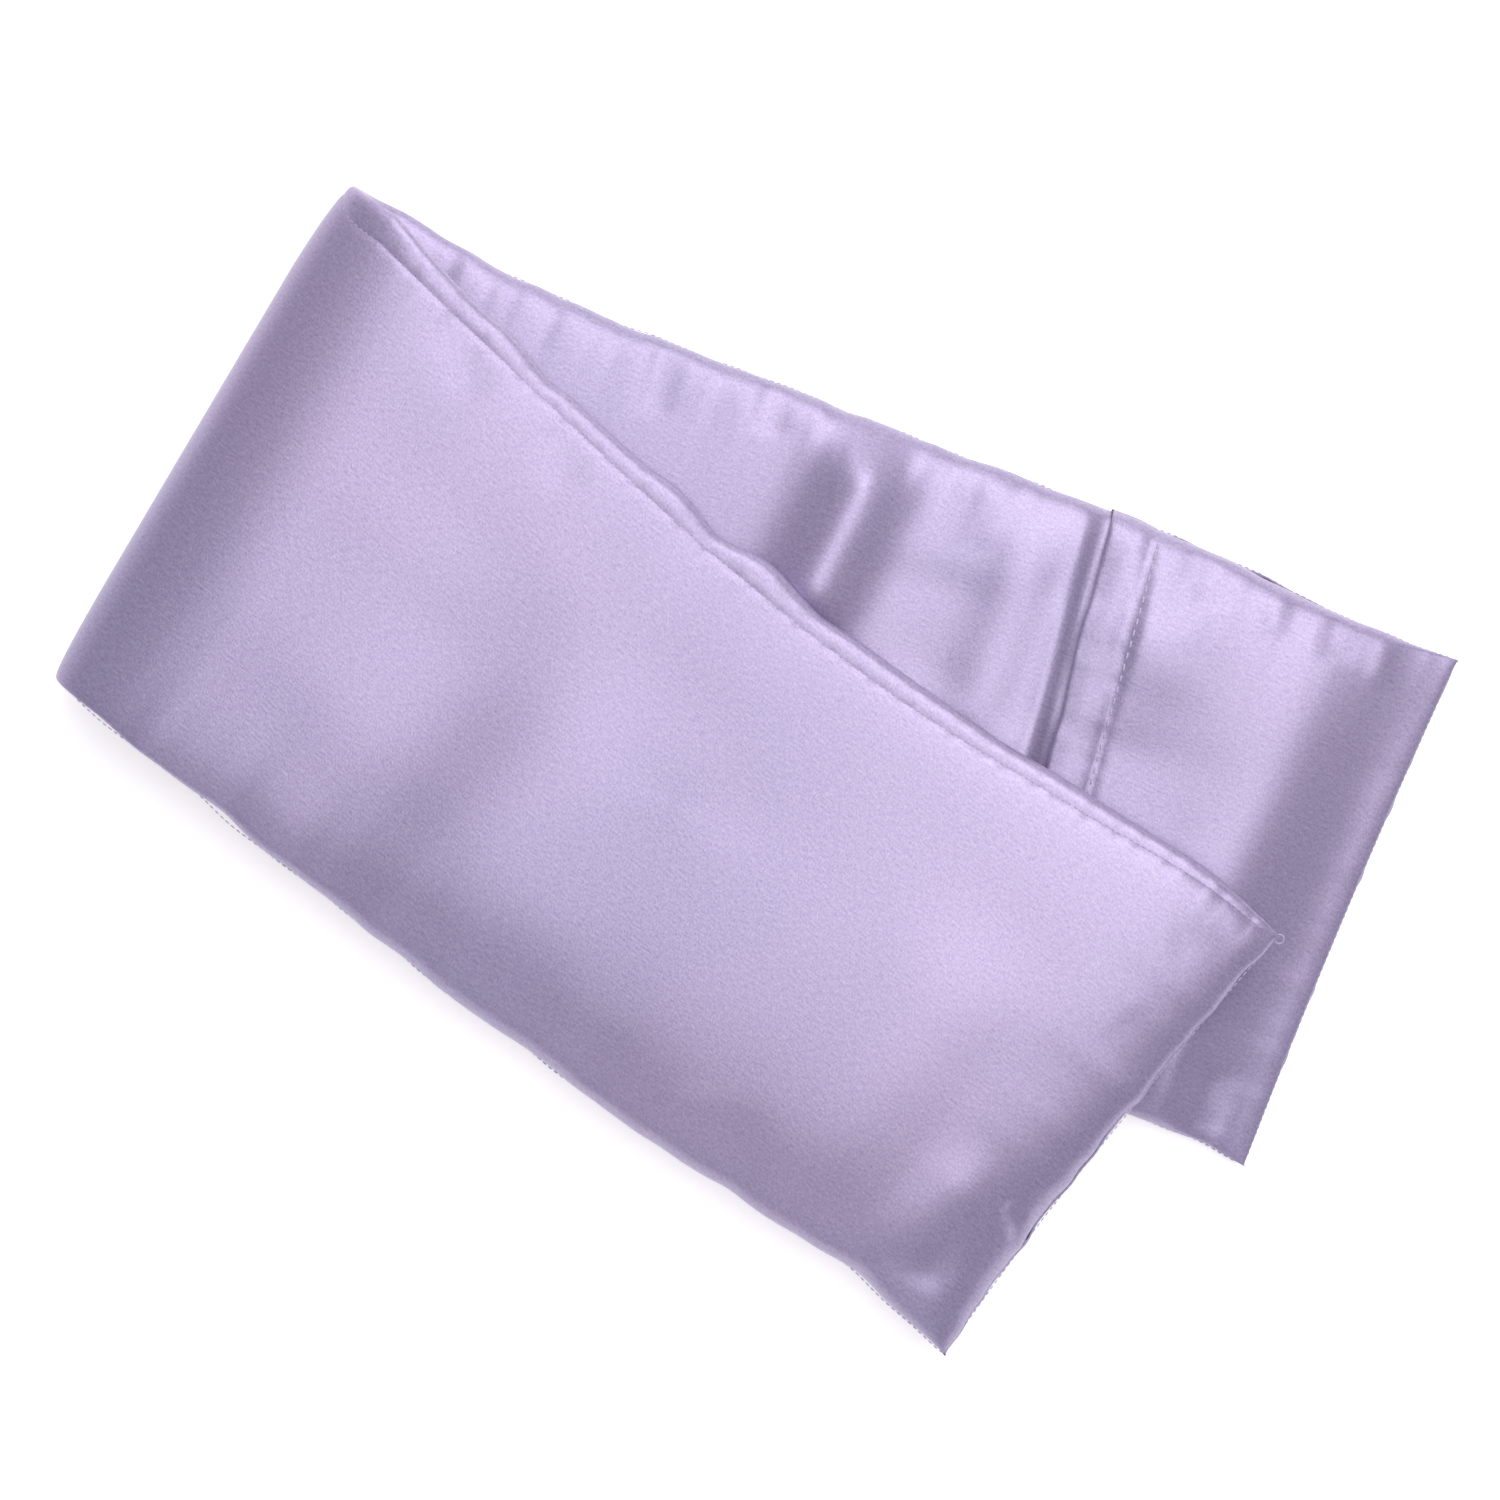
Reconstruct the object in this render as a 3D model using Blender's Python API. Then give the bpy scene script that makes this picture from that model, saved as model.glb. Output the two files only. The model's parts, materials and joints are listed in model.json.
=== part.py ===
"""A satin eye pillow, folded once: a slip-off cover with an envelope opening, a sewn inner pouch and its
seed fill.

The strip lies along X. Its lower half rests on the floor, the fold is at -X, and the upper half comes back over
the lower one. The two halves lean apart by twice SKEW. The fold is a bend of four hinges, whose axes lie on the
outer cloth of the bend, parallel to Y: opened by 45 degrees each, they lay the strip out straight.

Every ply is a slab between two faces, and each face is the same rounded section carried along the strip. A
section's angle theta is 0 at the far (+Y) seam and pi at the near one. It is positive over the outer face, which
is the underside of the lower half and the top of the upper half, and negative over the inner face.
"""

import math

import bmesh
import bpy
import numpy as np

MM = 0.001

# Driving dimensions
SKEW = math.radians(7.67)  # each half's lean from the X axis
LOWER_LENGTH = 263.7 * MM  # from the outer edge of the fold to the end seam
UPPER_LENGTH = 244.2 * MM
BEND_RADIUS = 14.0 * MM  # outer cloth of the bend, and half of the folded height
CREASE_RADIUS = 3.0 * MM  # inner cloth of the bend
HINGE_COUNT = 4
FABRIC = 0.5 * MM  # one ply with its seam allowance
GAP = 0.6 * MM  # between the cover and the pouch, and the pouch and the seeds
HEM_GAP = 0.4 * MM  # around the flap's hem and its thread
REST_GAP = 1.0 * MM  # between the two halves, away from the fold

# Edges of the halves from above, in mm: (distance from the fold, distance across from the half's middle line)
LOWER_FAR_EDGE = ((0, 58.5), (60, 54.5), (130, 56.5), (204, 59.0), (263.7, 57.9))
LOWER_NEAR_EDGE = ((0, -59.5), (130, -58.5), (263.7, -57.9))
UPPER_FAR_EDGE = ((-8, 61.0), (27, 58.5), (98, 51.0), (153, 51.5), (196, 56.0), (244.2, 56.0))
UPPER_NEAR_EDGE = ((0, -60.3), (100, -61.0), (157, -59.4), (197, -56.4), (244.2, -55.4))

# The rounded section
FULLNESS = 3.6  # its exponent: higher is squarer
FLATTENING = 1.08  # how hard the outer face is pressed flat
SEAM_LIP = 0.8 * MM  # half the groove between two panels at a seam
SEAM_FROM_OUTER = 2.5 * MM  # depth of the seam below the outer cloth at the bend
LOWER_SEAM_HEIGHT = 4.5 * MM
SEAM_SETTLES = 40.0 * MM  # length over which the seam leaves the outer cloth after the bend
END_ROUNDING = 25.0 * MM  # length over which a half thins down to its end seam
CREASE_CLOSES = 32.0 * MM  # length over which the gap inside the fold closes

# The upper half's far seam, rolled onto its top
ROLL = math.radians(32)
FIRST_ROLL = math.radians(5)  # where it starts, at the first hinge
END_UNROLL = 0.7  # share of the roll that is gone at the end
UNROLL_START = 0.78  # where it starts to go, as a share of the half
SEAM_ANGLE = 0.065  # half the groove of a rolled seam, as an angle of the section

# How the upper half hangs over the near side of the lower half
HANG_START = 46.0 * MM  # distance across the lower half where it starts
HANG_LENGTH = 54.0 * MM  # distance over which it comes down to the floor
HANG_EASE = 90.0 * MM  # distance from the fold over which it builds up
TOP_DROP = 9.0 * MM  # how far the top comes down

# The envelope opening in the lower half's top
SLIT_PLACE = 192.7 * MM  # of the flap's folded edge, along the half's middle line
SLIT_LEAN = 0.147  # how much nearer the fold it is per unit across
TUCK_DEPTH = 1.9 * MM  # how far the back panel dips to pass under the flap
TUCK_LENGTH = 30.0 * MM  # length over which it dips
TUCK_END = 238.0 * MM  # where the tucked panel ends
HEM_WIDTH = 10.0 * MM
HEM_INSET = 0.8 * MM  # of the turned-under ply, from the flap's top
HEM_SIDE = math.radians(18)  # how far it stays from the side seams, as an angle of the section

POUCH_INSET = FABRIC + GAP  # from the cover's surface
POUCH_SHORT = 12.0 * MM  # from the cover's end to the pouch's end
SEED_INSET = POUCH_INSET + FABRIC + GAP

SEAM_THREAD_RADIUS = 0.3 * MM
SEAM_SINK = 0.1 * MM  # of its middle below the cloth
HEM_THREAD_RADIUS = 0.2 * MM
TAIL_RADIUS = 0.15 * MM
TAIL_LOOP_RADIUS = 0.9 * MM

# Rows of the mesh: shares along a half, and columns across a section
HALF_STATIONS = (0, 0.05, 0.1, 0.15, 0.3, 0.45, 0.55, 0.62, 0.68, 0.74, 0.82, 0.905, 0.95, 0.985, 1)
DRAW_IN_FROM = 0.82  # share along a half where a shorter ply starts to draw in
FLAP_STATIONS = (0, 0.3, 0.65, 0.8, 0.92, 0.98, 1)
COLUMNS = 10
ROLL_COLUMNS = 2  # more of them on a rolled edge

HINGE_STEP = math.pi / HINGE_COUNT
HINGE_GAP = math.radians(1.5)  # from a hinge's plane to the plies on each side
CUT_PAST = math.radians(3)  # how far a cutter runs past an open end
SEAM_RADIUS = BEND_RADIUS - SEAM_FROM_OUTER
LIP_LEFT = 0.3 * MM  # half the thickness of the thinnest edge
TINY_ANGLE = 1e-6


def through(u, knots):
    """A smooth curve through (place, value) points in millimetres, level outside them."""
    place, value = np.array(knots, float).T * MM
    slope = np.gradient(value, place)
    u = np.clip(u, place[0], place[-1])
    i = np.clip(np.searchsorted(place, u) - 1, 0, len(place) - 2)
    span = place[i + 1] - place[i]
    f = (u - place[i]) / span
    g = 1 - f
    line = value[i] * g**2 * (1 + 2 * f) + value[i + 1] * f**2 * (3 - 2 * f)
    return line + span * f * g * (slope[i] * g - slope[i + 1] * f)


def ease(f):
    """Smooth step from 0 to 1."""
    f = np.clip(f, 0, 1)
    return f * f * (3 - 2 * f)


def place_in_half(u, v, side):
    """X and Y of the point u along and v across a half; side is 1 for the lower half and -1 for the upper."""
    x = u * math.cos(SKEW) - v * side * math.sin(SKEW)
    y = u * side * math.sin(SKEW) + v * math.cos(SKEW)
    return x, y


def start_of_half(v, side):
    """Distance along a half where it meets the plane through the bend's centre."""
    return (BEND_RADIUS + side * v * math.sin(SKEW)) / math.cos(SKEW)


def slit(v, side=1):
    """Distance along the lower half of the flap's folded edge."""
    return SLIT_PLACE - SLIT_LEAN * v


def hem_start(v, side=1):
    return slit(v) + HEM_GAP


def hem_end(v, side=1):
    return slit(v) + HEM_WIDTH


def edges(side, u):
    """Middle and half width of a half, at a distance from the fold."""
    far, near = (LOWER_FAR_EDGE, LOWER_NEAR_EDGE) if side > 0 else (UPPER_FAR_EDGE, UPPER_NEAR_EDGE)
    far_v, near_v = through(u, far), through(u, near)
    return (far_v + near_v) / 2, (far_v - near_v) / 2


def crease_gap(x):
    """Half the gap between the halves: the crease radius at the bend, closing along the strip."""
    closed = REST_GAP / 2
    return closed + (CREASE_RADIUS - closed) * (1 - ease((x - BEND_RADIUS) / CREASE_CLOSES))


def settled(x):
    """0 at the bend, 1 where the seam has its own height."""
    return ease((x - BEND_RADIUS) / SEAM_SETTLES)


def hang(x, y):
    """0 where the upper half lies on the lower one, 1 where it hangs down to the floor."""
    across_lower = y * math.cos(SKEW) - x * math.sin(SKEW)
    return ease((-across_lower - HANG_START) / HANG_LENGTH) * ease((x - BEND_RADIUS) / HANG_EASE)


def lower_faces(x, y):
    """Heights of the lower half's outer face, inner face and seam."""
    seam = SEAM_FROM_OUTER + (LOWER_SEAM_HEIGHT - SEAM_FROM_OUTER) * settled(x)
    return 0 * x, BEND_RADIUS - crease_gap(x), seam


def upper_faces(x, y):
    """Heights of the upper half's outer face, inner face and seam."""
    hanging = hang(x, y)
    inner = (BEND_RADIUS + crease_gap(x)) * (1 - hanging) + REST_GAP * hanging
    outer = 2 * BEND_RADIUS - TOP_DROP * hanging
    depth = SEAM_FROM_OUTER + ((outer - inner) / 2 - SEAM_FROM_OUTER) * settled(x)
    return outer, inner, outer - depth


def section(theta):
    """Across and depth shares of the rounded section."""
    across = np.sign(np.cos(theta)) * np.abs(np.cos(theta)) ** (2 / FULLNESS)
    depth = np.abs(np.sin(theta)) ** (2 / FULLNESS)
    return across, np.where(theta > 0, np.minimum(depth * FLATTENING, 1), depth)


def half_surface(side, along, theta, inset, lip, first=start_of_half, last=None, tucked=False):
    """A point of a half, inset from the cover's surface; along is 0 at its start and 1 at its end. A shorter
    ply keeps the rows of the full one, and draws in over its last stretch, so that nested plies stay parallel."""
    length = LOWER_LENGTH if side > 0 else UPPER_LENGTH
    across, depth = section(theta)
    start = first(0, side)
    middle, half_width = edges(side, start + (length - start) * along)
    v = middle + half_width * across
    start = first(v, side)
    end = length - inset if last is None else last(v, side)
    u = start + (length - start) * along - (length - end) * ease((along - DRAW_IN_FROM) / (1 - DRAW_IN_FROM))
    x, y = place_in_half(u, v, side)
    outer, inner, seam = (lower_faces if side > 0 else upper_faces)(x, y)
    dip = TUCK_DEPTH * ease((u - slit(v)) / TUCK_LENGTH + 1) if tucked else 0
    x, y = place_in_half(u, v - (inset + dip) * across, side)
    thinning = np.sqrt(1 - np.clip((u - length) / END_ROUNDING + 1, 0, 1) ** 2)
    on_outer = theta > 0
    reach = np.abs(np.where(on_outer, outer, inner) - seam) - inset - np.where(on_outer, 0, dip)
    upward = np.where(on_outer, -side, side)
    return x, y, seam + upward * (lip + np.maximum(reach - lip, 0) * depth * thinning)


def bend_surface(angle, theta, inset, lip):
    """A point of the bend; angle is 0 straight below its centre and pi straight above."""
    across, depth = section(theta)
    y = 0
    for side, weight in ((1, 1 - angle / math.pi), (-1, angle / math.pi)):
        middle, half_width = edges(side, start_of_half(0, side))
        v = middle + (half_width - inset) * across
        y = y + weight * place_in_half(start_of_half(v, side), v, side)[1]
    on_outer = theta > 0
    reach = np.where(on_outer, BEND_RADIUS - SEAM_RADIUS, SEAM_RADIUS - CREASE_RADIUS) - inset
    radius = SEAM_RADIUS + np.where(on_outer, 1, -1) * (lip + np.maximum(reach - lip, 0) * depth)
    return BEND_RADIUS - radius * np.sin(angle), y, BEND_RADIUS - radius * np.cos(angle)


def surface(body, station, theta, inset, lip, **options):
    """A point of a body. A segment's stations are angles of the bend. A half's are shares along it or,
    below 0, how far back into the bend a point is."""
    if body.startswith("fold_segment"):
        return bend_surface(station, theta, inset, lip)
    side = 1 if body == "lower_half" else -1
    angle = -station if side > 0 else math.pi + station
    flat = half_surface(side, np.maximum(station, 0), theta, inset, lip, **options)
    bent = bend_surface(angle, theta, inset, lip)
    return [np.where(station < 0, b, f) for b, f in zip(bent, flat)]


def roll_at(body, station):
    """How far the far seam is rolled towards the outer face: not on the lower half, ever more in the bend."""
    if body == "lower_half":
        return 0 * station
    if body.startswith("fold_segment"):
        return FIRST_ROLL + (ROLL - FIRST_ROLL) * ease(station / math.pi)
    bent = FIRST_ROLL + (ROLL - FIRST_ROLL) * ease(1 + np.minimum(station, 0) / math.pi)
    return bent * (1 - END_UNROLL * ease((station - UNROLL_START) / (1 - UNROLL_START)))


def front_angle(body):
    """The section's angle on the front panel, which covers the outer face, at a share from near to far seam.
    Its columns stand where the pouch's do, up to the last one before a rolled seam."""

    def angle(station, share):
        roll = roll_at(body, station)
        far = np.maximum(roll + np.minimum(roll, SEAM_ANGLE), TINY_ANGLE)
        column = share * front_columns(body)
        last = front_columns(body) - 1
        edge = math.pi * (1 - last / COLUMNS)
        plain = math.pi * (1 - np.minimum(column, last) / COLUMNS)
        return plain + (far - edge) * np.maximum(column - last, 0)

    return angle


def front_columns(body):
    return COLUMNS if body == "lower_half" else COLUMNS - 1


def back_angle(body):
    """The section's angle on the back panel, which covers the inner face and then the rolled edge."""
    inner_share = 1 if body == "lower_half" else COLUMNS / (COLUMNS + ROLL_COLUMNS)

    def angle(station, share):
        roll = roll_at(body, station)
        far = roll - np.minimum(roll, SEAM_ANGLE)
        rolled = np.maximum(share / inner_share - 1, 0) * inner_share / max(1 - inner_share, TINY_ANGLE)
        return math.pi * np.minimum(share / inner_share - 1, 0) + far * rolled

    return angle


def centre_of_base():
    """The middle of the folded pillow's box, seen from above."""
    ends = [place_in_half(LOWER_LENGTH, edge[-1][1] * MM, 1) for edge in (LOWER_FAR_EDGE, LOWER_NEAR_EDGE)]
    ends += [place_in_half(UPPER_LENGTH, edge[-1][1] * MM, -1) for edge in (UPPER_FAR_EDGE, UPPER_NEAR_EDGE)]
    x, y = np.array(ends).T
    return np.array([x.max() / 2, (y.min() + y.max()) / 2, 0])


def make_material(name, color, roughness):
    material = bpy.data.materials.new(name)
    material.use_nodes = True
    shader = material.node_tree.nodes["Principled BSDF"]
    shader.inputs["Base Color"].default_value = (*color, 1)
    shader.inputs["Roughness"].default_value = roughness
    shader.inputs["Metallic"].default_value = 0.0
    return material


def slab(name, stations, shape, material, columns=COLUMNS):
    """A closed body between two faces on one grid; shape gives a point from a station, share across and face."""
    rows = len(stations) - 1
    bm = bmesh.new()
    bmesh.ops.create_grid(bm, x_segments=rows, y_segments=columns, size=0.5)
    bmesh.ops.solidify(bm, geom=bm.faces[:], thickness=0.1)
    grid = np.array([vertex.co for vertex in bm.verts])
    row = np.rint((grid[:, 0] + 0.5) * rows).astype(int)
    second_face = grid[:, 2] > (grid[:, 2].min() + grid[:, 2].max()) / 2
    points = np.stack(shape(np.array(stations)[row], grid[:, 1] + 0.5, second_face), axis=1)
    for vertex, point in zip(bm.verts, points - ORIGIN):
        vertex.co = point
    bmesh.ops.triangulate(bm, faces=bm.faces[:], quad_method="SHORT_EDGE")
    if bm.calc_volume(signed=True) < 0:
        bmesh.ops.reverse_faces(bm, faces=bm.faces[:])
    mesh = bpy.data.meshes.new(name)
    bm.to_mesh(mesh)
    bm.free()
    mesh.materials.append(material)
    mesh.shade_smooth()
    obj = bpy.data.objects.new(name, mesh)
    PILLOW.objects.link(obj)
    return obj


def panel(name, body, stations, angle, columns=COLUMNS, inset=0.0, **options):
    """A ply of satin; angle gives the section's angle from the station and the share across the panel."""

    def shape(station, share, second_face):
        depth = inset + FABRIC * second_face
        lip = np.maximum(SEAM_LIP - depth, LIP_LEFT)
        return surface(body, station, angle(station, share), depth, lip, **options)

    return slab(name, stations, shape, SATIN, columns)


def cushion(name, body, stations, inset, material, **options):
    """A closed cushion inside a body's cover."""

    def shape(station, share, second_face):
        theta = np.clip((1 - share) * math.pi, TINY_ANGLE, math.pi - TINY_ANGLE)
        return surface(body, station, np.where(second_face, -theta, theta), inset, LIP_LEFT, **options)

    return slab(name, stations, shape, material)


def pouch(name, body, stations, cut_stations, material, last, **options):
    """A hollow stretch of the inner pouch, open where it meets its neighbours."""
    skin = cushion(name, body, stations, POUCH_INSET, material, last=last, **options)

    def hollow_end(v, side):
        return last(v, side) - FABRIC

    hollow = cushion(
        name + "_hollow", body, cut_stations, POUCH_INSET + FABRIC, material, last=hollow_end, **options
    )
    hollow.hide_render = True
    hollow.display_type = "WIRE"
    PILLOW.objects.unlink(hollow)
    CUTTERS.objects.link(hollow)
    cut = skin.modifiers.new("hollow", "BOOLEAN")
    cut.operation = "DIFFERENCE"
    cut.object = hollow


def thread(name, points, radius):
    """A round thread through points."""
    curve = bpy.data.curves.new(name, "CURVE")
    curve.dimensions = "3D"
    curve.bevel_depth = radius
    curve.bevel_resolution = 1
    curve.use_fill_caps = True
    spline = curve.splines.new("POLY")
    spline.points.add(len(points) - 1)
    for point, place in zip(spline.points, points - ORIGIN):
        point.co = (*place, 1)
    curve.materials.append(THREAD)
    PILLOW.objects.link(bpy.data.objects.new(name, curve))


def seam_path(side, along, theta):
    """Along the groove of a seam, sunk below the cloth."""
    return np.stack(half_surface(side, along, theta, SEAM_SINK, 0.0), axis=1)


def lower_seam_path():
    """Along the near seam, across the end and back along the far seam."""
    along = np.array(HALF_STATIONS[2:])
    across = np.linspace(1, 0, COLUMNS)[1:-1]
    station = np.concatenate([along, np.ones(len(across)), along[::-1]])
    theta = np.concatenate([1 + 0 * along, across, TINY_ANGLE + 0 * along]) * math.pi
    return seam_path(1, station, theta)


def upper_seam_path():
    """Along the near seam and across the end."""
    along = np.array(HALF_STATIONS[2:])
    across = np.linspace(1, 0.15, COLUMNS)[1:]
    return seam_path(-1, np.append(along, 1 + 0 * across), np.append(1 + 0 * along, across) * math.pi)


def rolled_seam_path():
    """Along the seam that is rolled onto the upper half's top."""
    along = np.array(HALF_STATIONS[1:-2])
    return seam_path(-1, along, roll_at("upper_half", along))


def hem_thread_path():
    """Across the flap at the hem's inner edge, just above the cloth."""
    theta = -np.linspace(math.pi - HEM_SIDE, HEM_SIDE, COLUMNS - 1)
    rise = HEM_GAP + HEM_THREAD_RADIUS
    return np.stack(
        half_surface(1, 0 * theta, theta, -rise, 0.0, first=hem_end), axis=1
    )


def tail_path():
    """The loose loop of thread at the upper half's far end corner."""
    turn = np.radians(np.linspace(-130, 130, 8))
    far_v = UPPER_FAR_EDGE[-1][1] * MM
    u = UPPER_LENGTH + 1.6 * MM + TAIL_LOOP_RADIUS * np.cos(turn)
    v = far_v - 1.5 * MM + TAIL_LOOP_RADIUS * np.sin(turn)
    x, y = place_in_half(u, v, -1)
    return np.stack([x, y, upper_faces(x, y)[2]], axis=1)


def make_plies(prefix, body, stations, cut_stations, length):
    """The front panel, back panel, pouch and seeds of a body."""
    on_lower = body == "lower_half"
    back_options = {"last": lambda v, side: TUCK_END + 0 * v, "tucked": True} if on_lower else {}
    back_columns = COLUMNS if on_lower else COLUMNS + ROLL_COLUMNS
    panel(prefix + "_front_panel", body, stations, front_angle(body), front_columns(body))
    panel(prefix + "_back_panel", body, stations, back_angle(body), back_columns, **back_options)

    def pouch_end(v, side):
        return length - POUCH_SHORT + 0 * v

    def seed_end(v, side):
        return length - POUCH_SHORT - FABRIC - GAP + 0 * v

    pouch(prefix + "_pouch", body, stations, cut_stations, COTTON, pouch_end, tucked=on_lower)
    cushion(prefix + "_seed_fill", body, stations, SEED_INSET, SEEDS, last=seed_end, tucked=on_lower)


def make_half(prefix, body, length):
    """One half of the pillow, from the nearest hinge to its end seam."""
    into_bend = HINGE_STEP / 2
    stations = (HINGE_GAP - into_bend, -into_bend / 2, *HALF_STATIONS)
    make_plies(prefix, body, stations, (-into_bend - CUT_PAST, *stations[1:]), length)


def make_segments():
    """The stretches of the bend between two hinges."""
    for number in range(1, HINGE_COUNT):
        middle = number * HINGE_STEP
        reach = HINGE_STEP / 2 - HINGE_GAP
        stations = (middle - reach, middle, middle + reach)
        cut_stations = (middle - reach - CUT_PAST, middle, middle + reach + CUT_PAST)
        name = f"fold_segment_{number}"
        make_plies(name, name, stations, cut_stations, 0.0)


def make_opening():
    """The flap of the envelope opening, its turned-under hem and the thread that holds it."""
    def hem_angle(station, share):
        return -HEM_SIDE - (math.pi - 2 * HEM_SIDE) * (1 - share)

    panel("opening_flap", "lower_half", FLAP_STATIONS, back_angle("lower_half"), first=slit)
    hem_place = {"first": hem_start, "last": hem_end}
    panel("flap_hem_turn", "lower_half", (0, 1), hem_angle, COLUMNS - 2, HEM_INSET, **hem_place)
    thread("flap_hem_thread", hem_thread_path(), HEM_THREAD_RADIUS)


def report_frame():
    """Prints the hinge axes and the box, which the record repeats."""
    for number in range(HINGE_COUNT):
        angle = (number + 0.5) * HINGE_STEP
        x = BEND_RADIUS * (1 - math.sin(angle)) - ORIGIN[0]
        z = BEND_RADIUS * (1 - math.cos(angle))
        print(f"hinge {number + 1}: x {x:.6f} y {-ORIGIN[1]:.6f} z {z:.6f}")


for old in list(bpy.data.objects):
    bpy.data.objects.remove(old)
PILLOW = bpy.data.collections.new("eye_pillow")
CUTTERS = bpy.data.collections.new("cutters")
for collection in (PILLOW, CUTTERS):
    bpy.context.scene.collection.children.link(collection)

ORIGIN = centre_of_base()
SATIN = make_material("lilac_satin", (0.55, 0.48, 0.68), 0.38)
COTTON = make_material("pouch_cotton", (0.82, 0.79, 0.72), 0.9)
SEEDS = make_material("flax_seed", (0.25, 0.14, 0.07), 0.6)
THREAD = make_material("lilac_thread", (0.66, 0.60, 0.76), 0.6)

make_half("lower", "lower_half", LOWER_LENGTH)
make_opening()
make_segments()
make_half("upper", "upper_half", UPPER_LENGTH)
thread("lower_seam_thread", lower_seam_path(), SEAM_THREAD_RADIUS)
thread("upper_seam_thread", upper_seam_path(), SEAM_THREAD_RADIUS)
thread("rolled_seam_thread", rolled_seam_path(), SEAM_THREAD_RADIUS)
thread("corner_thread_tail", tail_path(), TAIL_RADIUS)
report_frame()
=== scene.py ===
# %% [markdown]
# A lilac satin eye pillow, folded once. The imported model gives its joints, its bodies and the solids that
# each piece stands for. This script gives it its cloth: the satin skin with its creases, the envelope
# opening, the stitches, the pouch of seeds inside, and the light.

# %% Load the frame
import json
import math

import bpy
import numpy as np
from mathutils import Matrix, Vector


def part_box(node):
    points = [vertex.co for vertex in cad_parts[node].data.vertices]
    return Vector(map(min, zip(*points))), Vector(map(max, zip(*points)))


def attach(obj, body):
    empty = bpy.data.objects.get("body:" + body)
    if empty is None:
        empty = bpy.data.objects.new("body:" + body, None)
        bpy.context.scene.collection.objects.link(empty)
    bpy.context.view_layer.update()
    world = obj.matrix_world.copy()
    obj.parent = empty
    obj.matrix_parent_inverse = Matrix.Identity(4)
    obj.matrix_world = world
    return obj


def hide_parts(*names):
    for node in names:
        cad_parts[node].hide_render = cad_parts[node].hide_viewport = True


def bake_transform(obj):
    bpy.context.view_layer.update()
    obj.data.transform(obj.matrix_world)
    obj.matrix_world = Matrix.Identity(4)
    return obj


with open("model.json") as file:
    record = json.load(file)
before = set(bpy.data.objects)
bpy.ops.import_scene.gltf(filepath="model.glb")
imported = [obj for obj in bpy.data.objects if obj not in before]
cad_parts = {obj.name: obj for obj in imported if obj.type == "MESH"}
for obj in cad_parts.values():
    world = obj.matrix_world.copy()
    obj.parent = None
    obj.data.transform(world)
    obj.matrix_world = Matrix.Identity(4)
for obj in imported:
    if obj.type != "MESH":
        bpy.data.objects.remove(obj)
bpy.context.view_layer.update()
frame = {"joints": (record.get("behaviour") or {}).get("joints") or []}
MM = 0.001

# %% [markdown]
# The fold is a bend of four hinges on a circle. Their places give the circle, and with it the point that
# every part of the cover is measured from. The two halves lean apart by the same angle, one to each side of
# the X axis.

# %% Read the fold from its hinges
HINGE_ANGLES = np.radians([22.5, 67.5, 112.5, 157.5])
hinges = {joint["name"]: np.array(joint["pos_m"]) for joint in frame["joints"]}
first_hinge, last_hinge = hinges["fold_hinge_1"], hinges["fold_hinge_4"]
BEND_RADIUS = (first_hinge[2] + last_hinge[2]) / 2
BEND_X = first_hinge[0] + BEND_RADIUS * math.sin(HINGE_ANGLES[0])
FOLD_X, FOLD_Y = BEND_X - BEND_RADIUS, first_hinge[1]
CREASE_RADIUS = 3.0 * MM
SKEW = math.radians(7.67)
LENGTH = {1: 263.7 * MM, -1: 244.2 * MM}
lower_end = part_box("lower_front_panel")[1].x
print(f"bend radius {BEND_RADIUS / MM:.2f} mm; the strip runs to x {lower_end / MM:.1f} mm")


def ease(f):
    """A step from 0 to 1 with no kink in its slope or its bend: 6 f^5 - 15 f^4 + 10 f^3."""
    f = np.clip(f, 0, 1)
    return f**3 * (f * (6 * f - 15) + 10)


def through(u, knots):
    """A smooth curve through (place, value) points in mm: each stretch is a cubic that keeps the slope."""
    place, value = np.array(knots, float).T * MM
    slope = np.gradient(value, place)
    u = np.clip(u, place[0], place[-1])
    i = np.clip(np.searchsorted(place, u) - 1, 0, len(place) - 2)
    span = place[i + 1] - place[i]
    f = (u - place[i]) / span
    g = 1 - f
    line = value[i] * g**2 * (1 + 2 * f) + value[i + 1] * f**2 * (3 - 2 * f)
    return line + span * f * g * (slope[i] * g - slope[i + 1] * f)


def wobble(s, period, turn=0.0):
    """An uneven wave between about -1 and 1: three sines whose periods never come back into step."""
    k = 2 * math.pi * s / (period * MM)
    slow = 0.5 * np.sin(k + turn)
    middling = 0.3 * np.sin(1.618 * k + 2.1 * turn)
    quick = 0.2 * np.sin(2.718 * k + 0.7 + turn)
    return slow + middling + quick


# %% [markdown]
# Each half has its own coordinates: u runs from the fold to the end seam, and v across, with +v on the far
# side. The edges are curves in those coordinates, because a slack pillow is never straight: it is pinched
# where it bends, and its seams draw it in.

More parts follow.
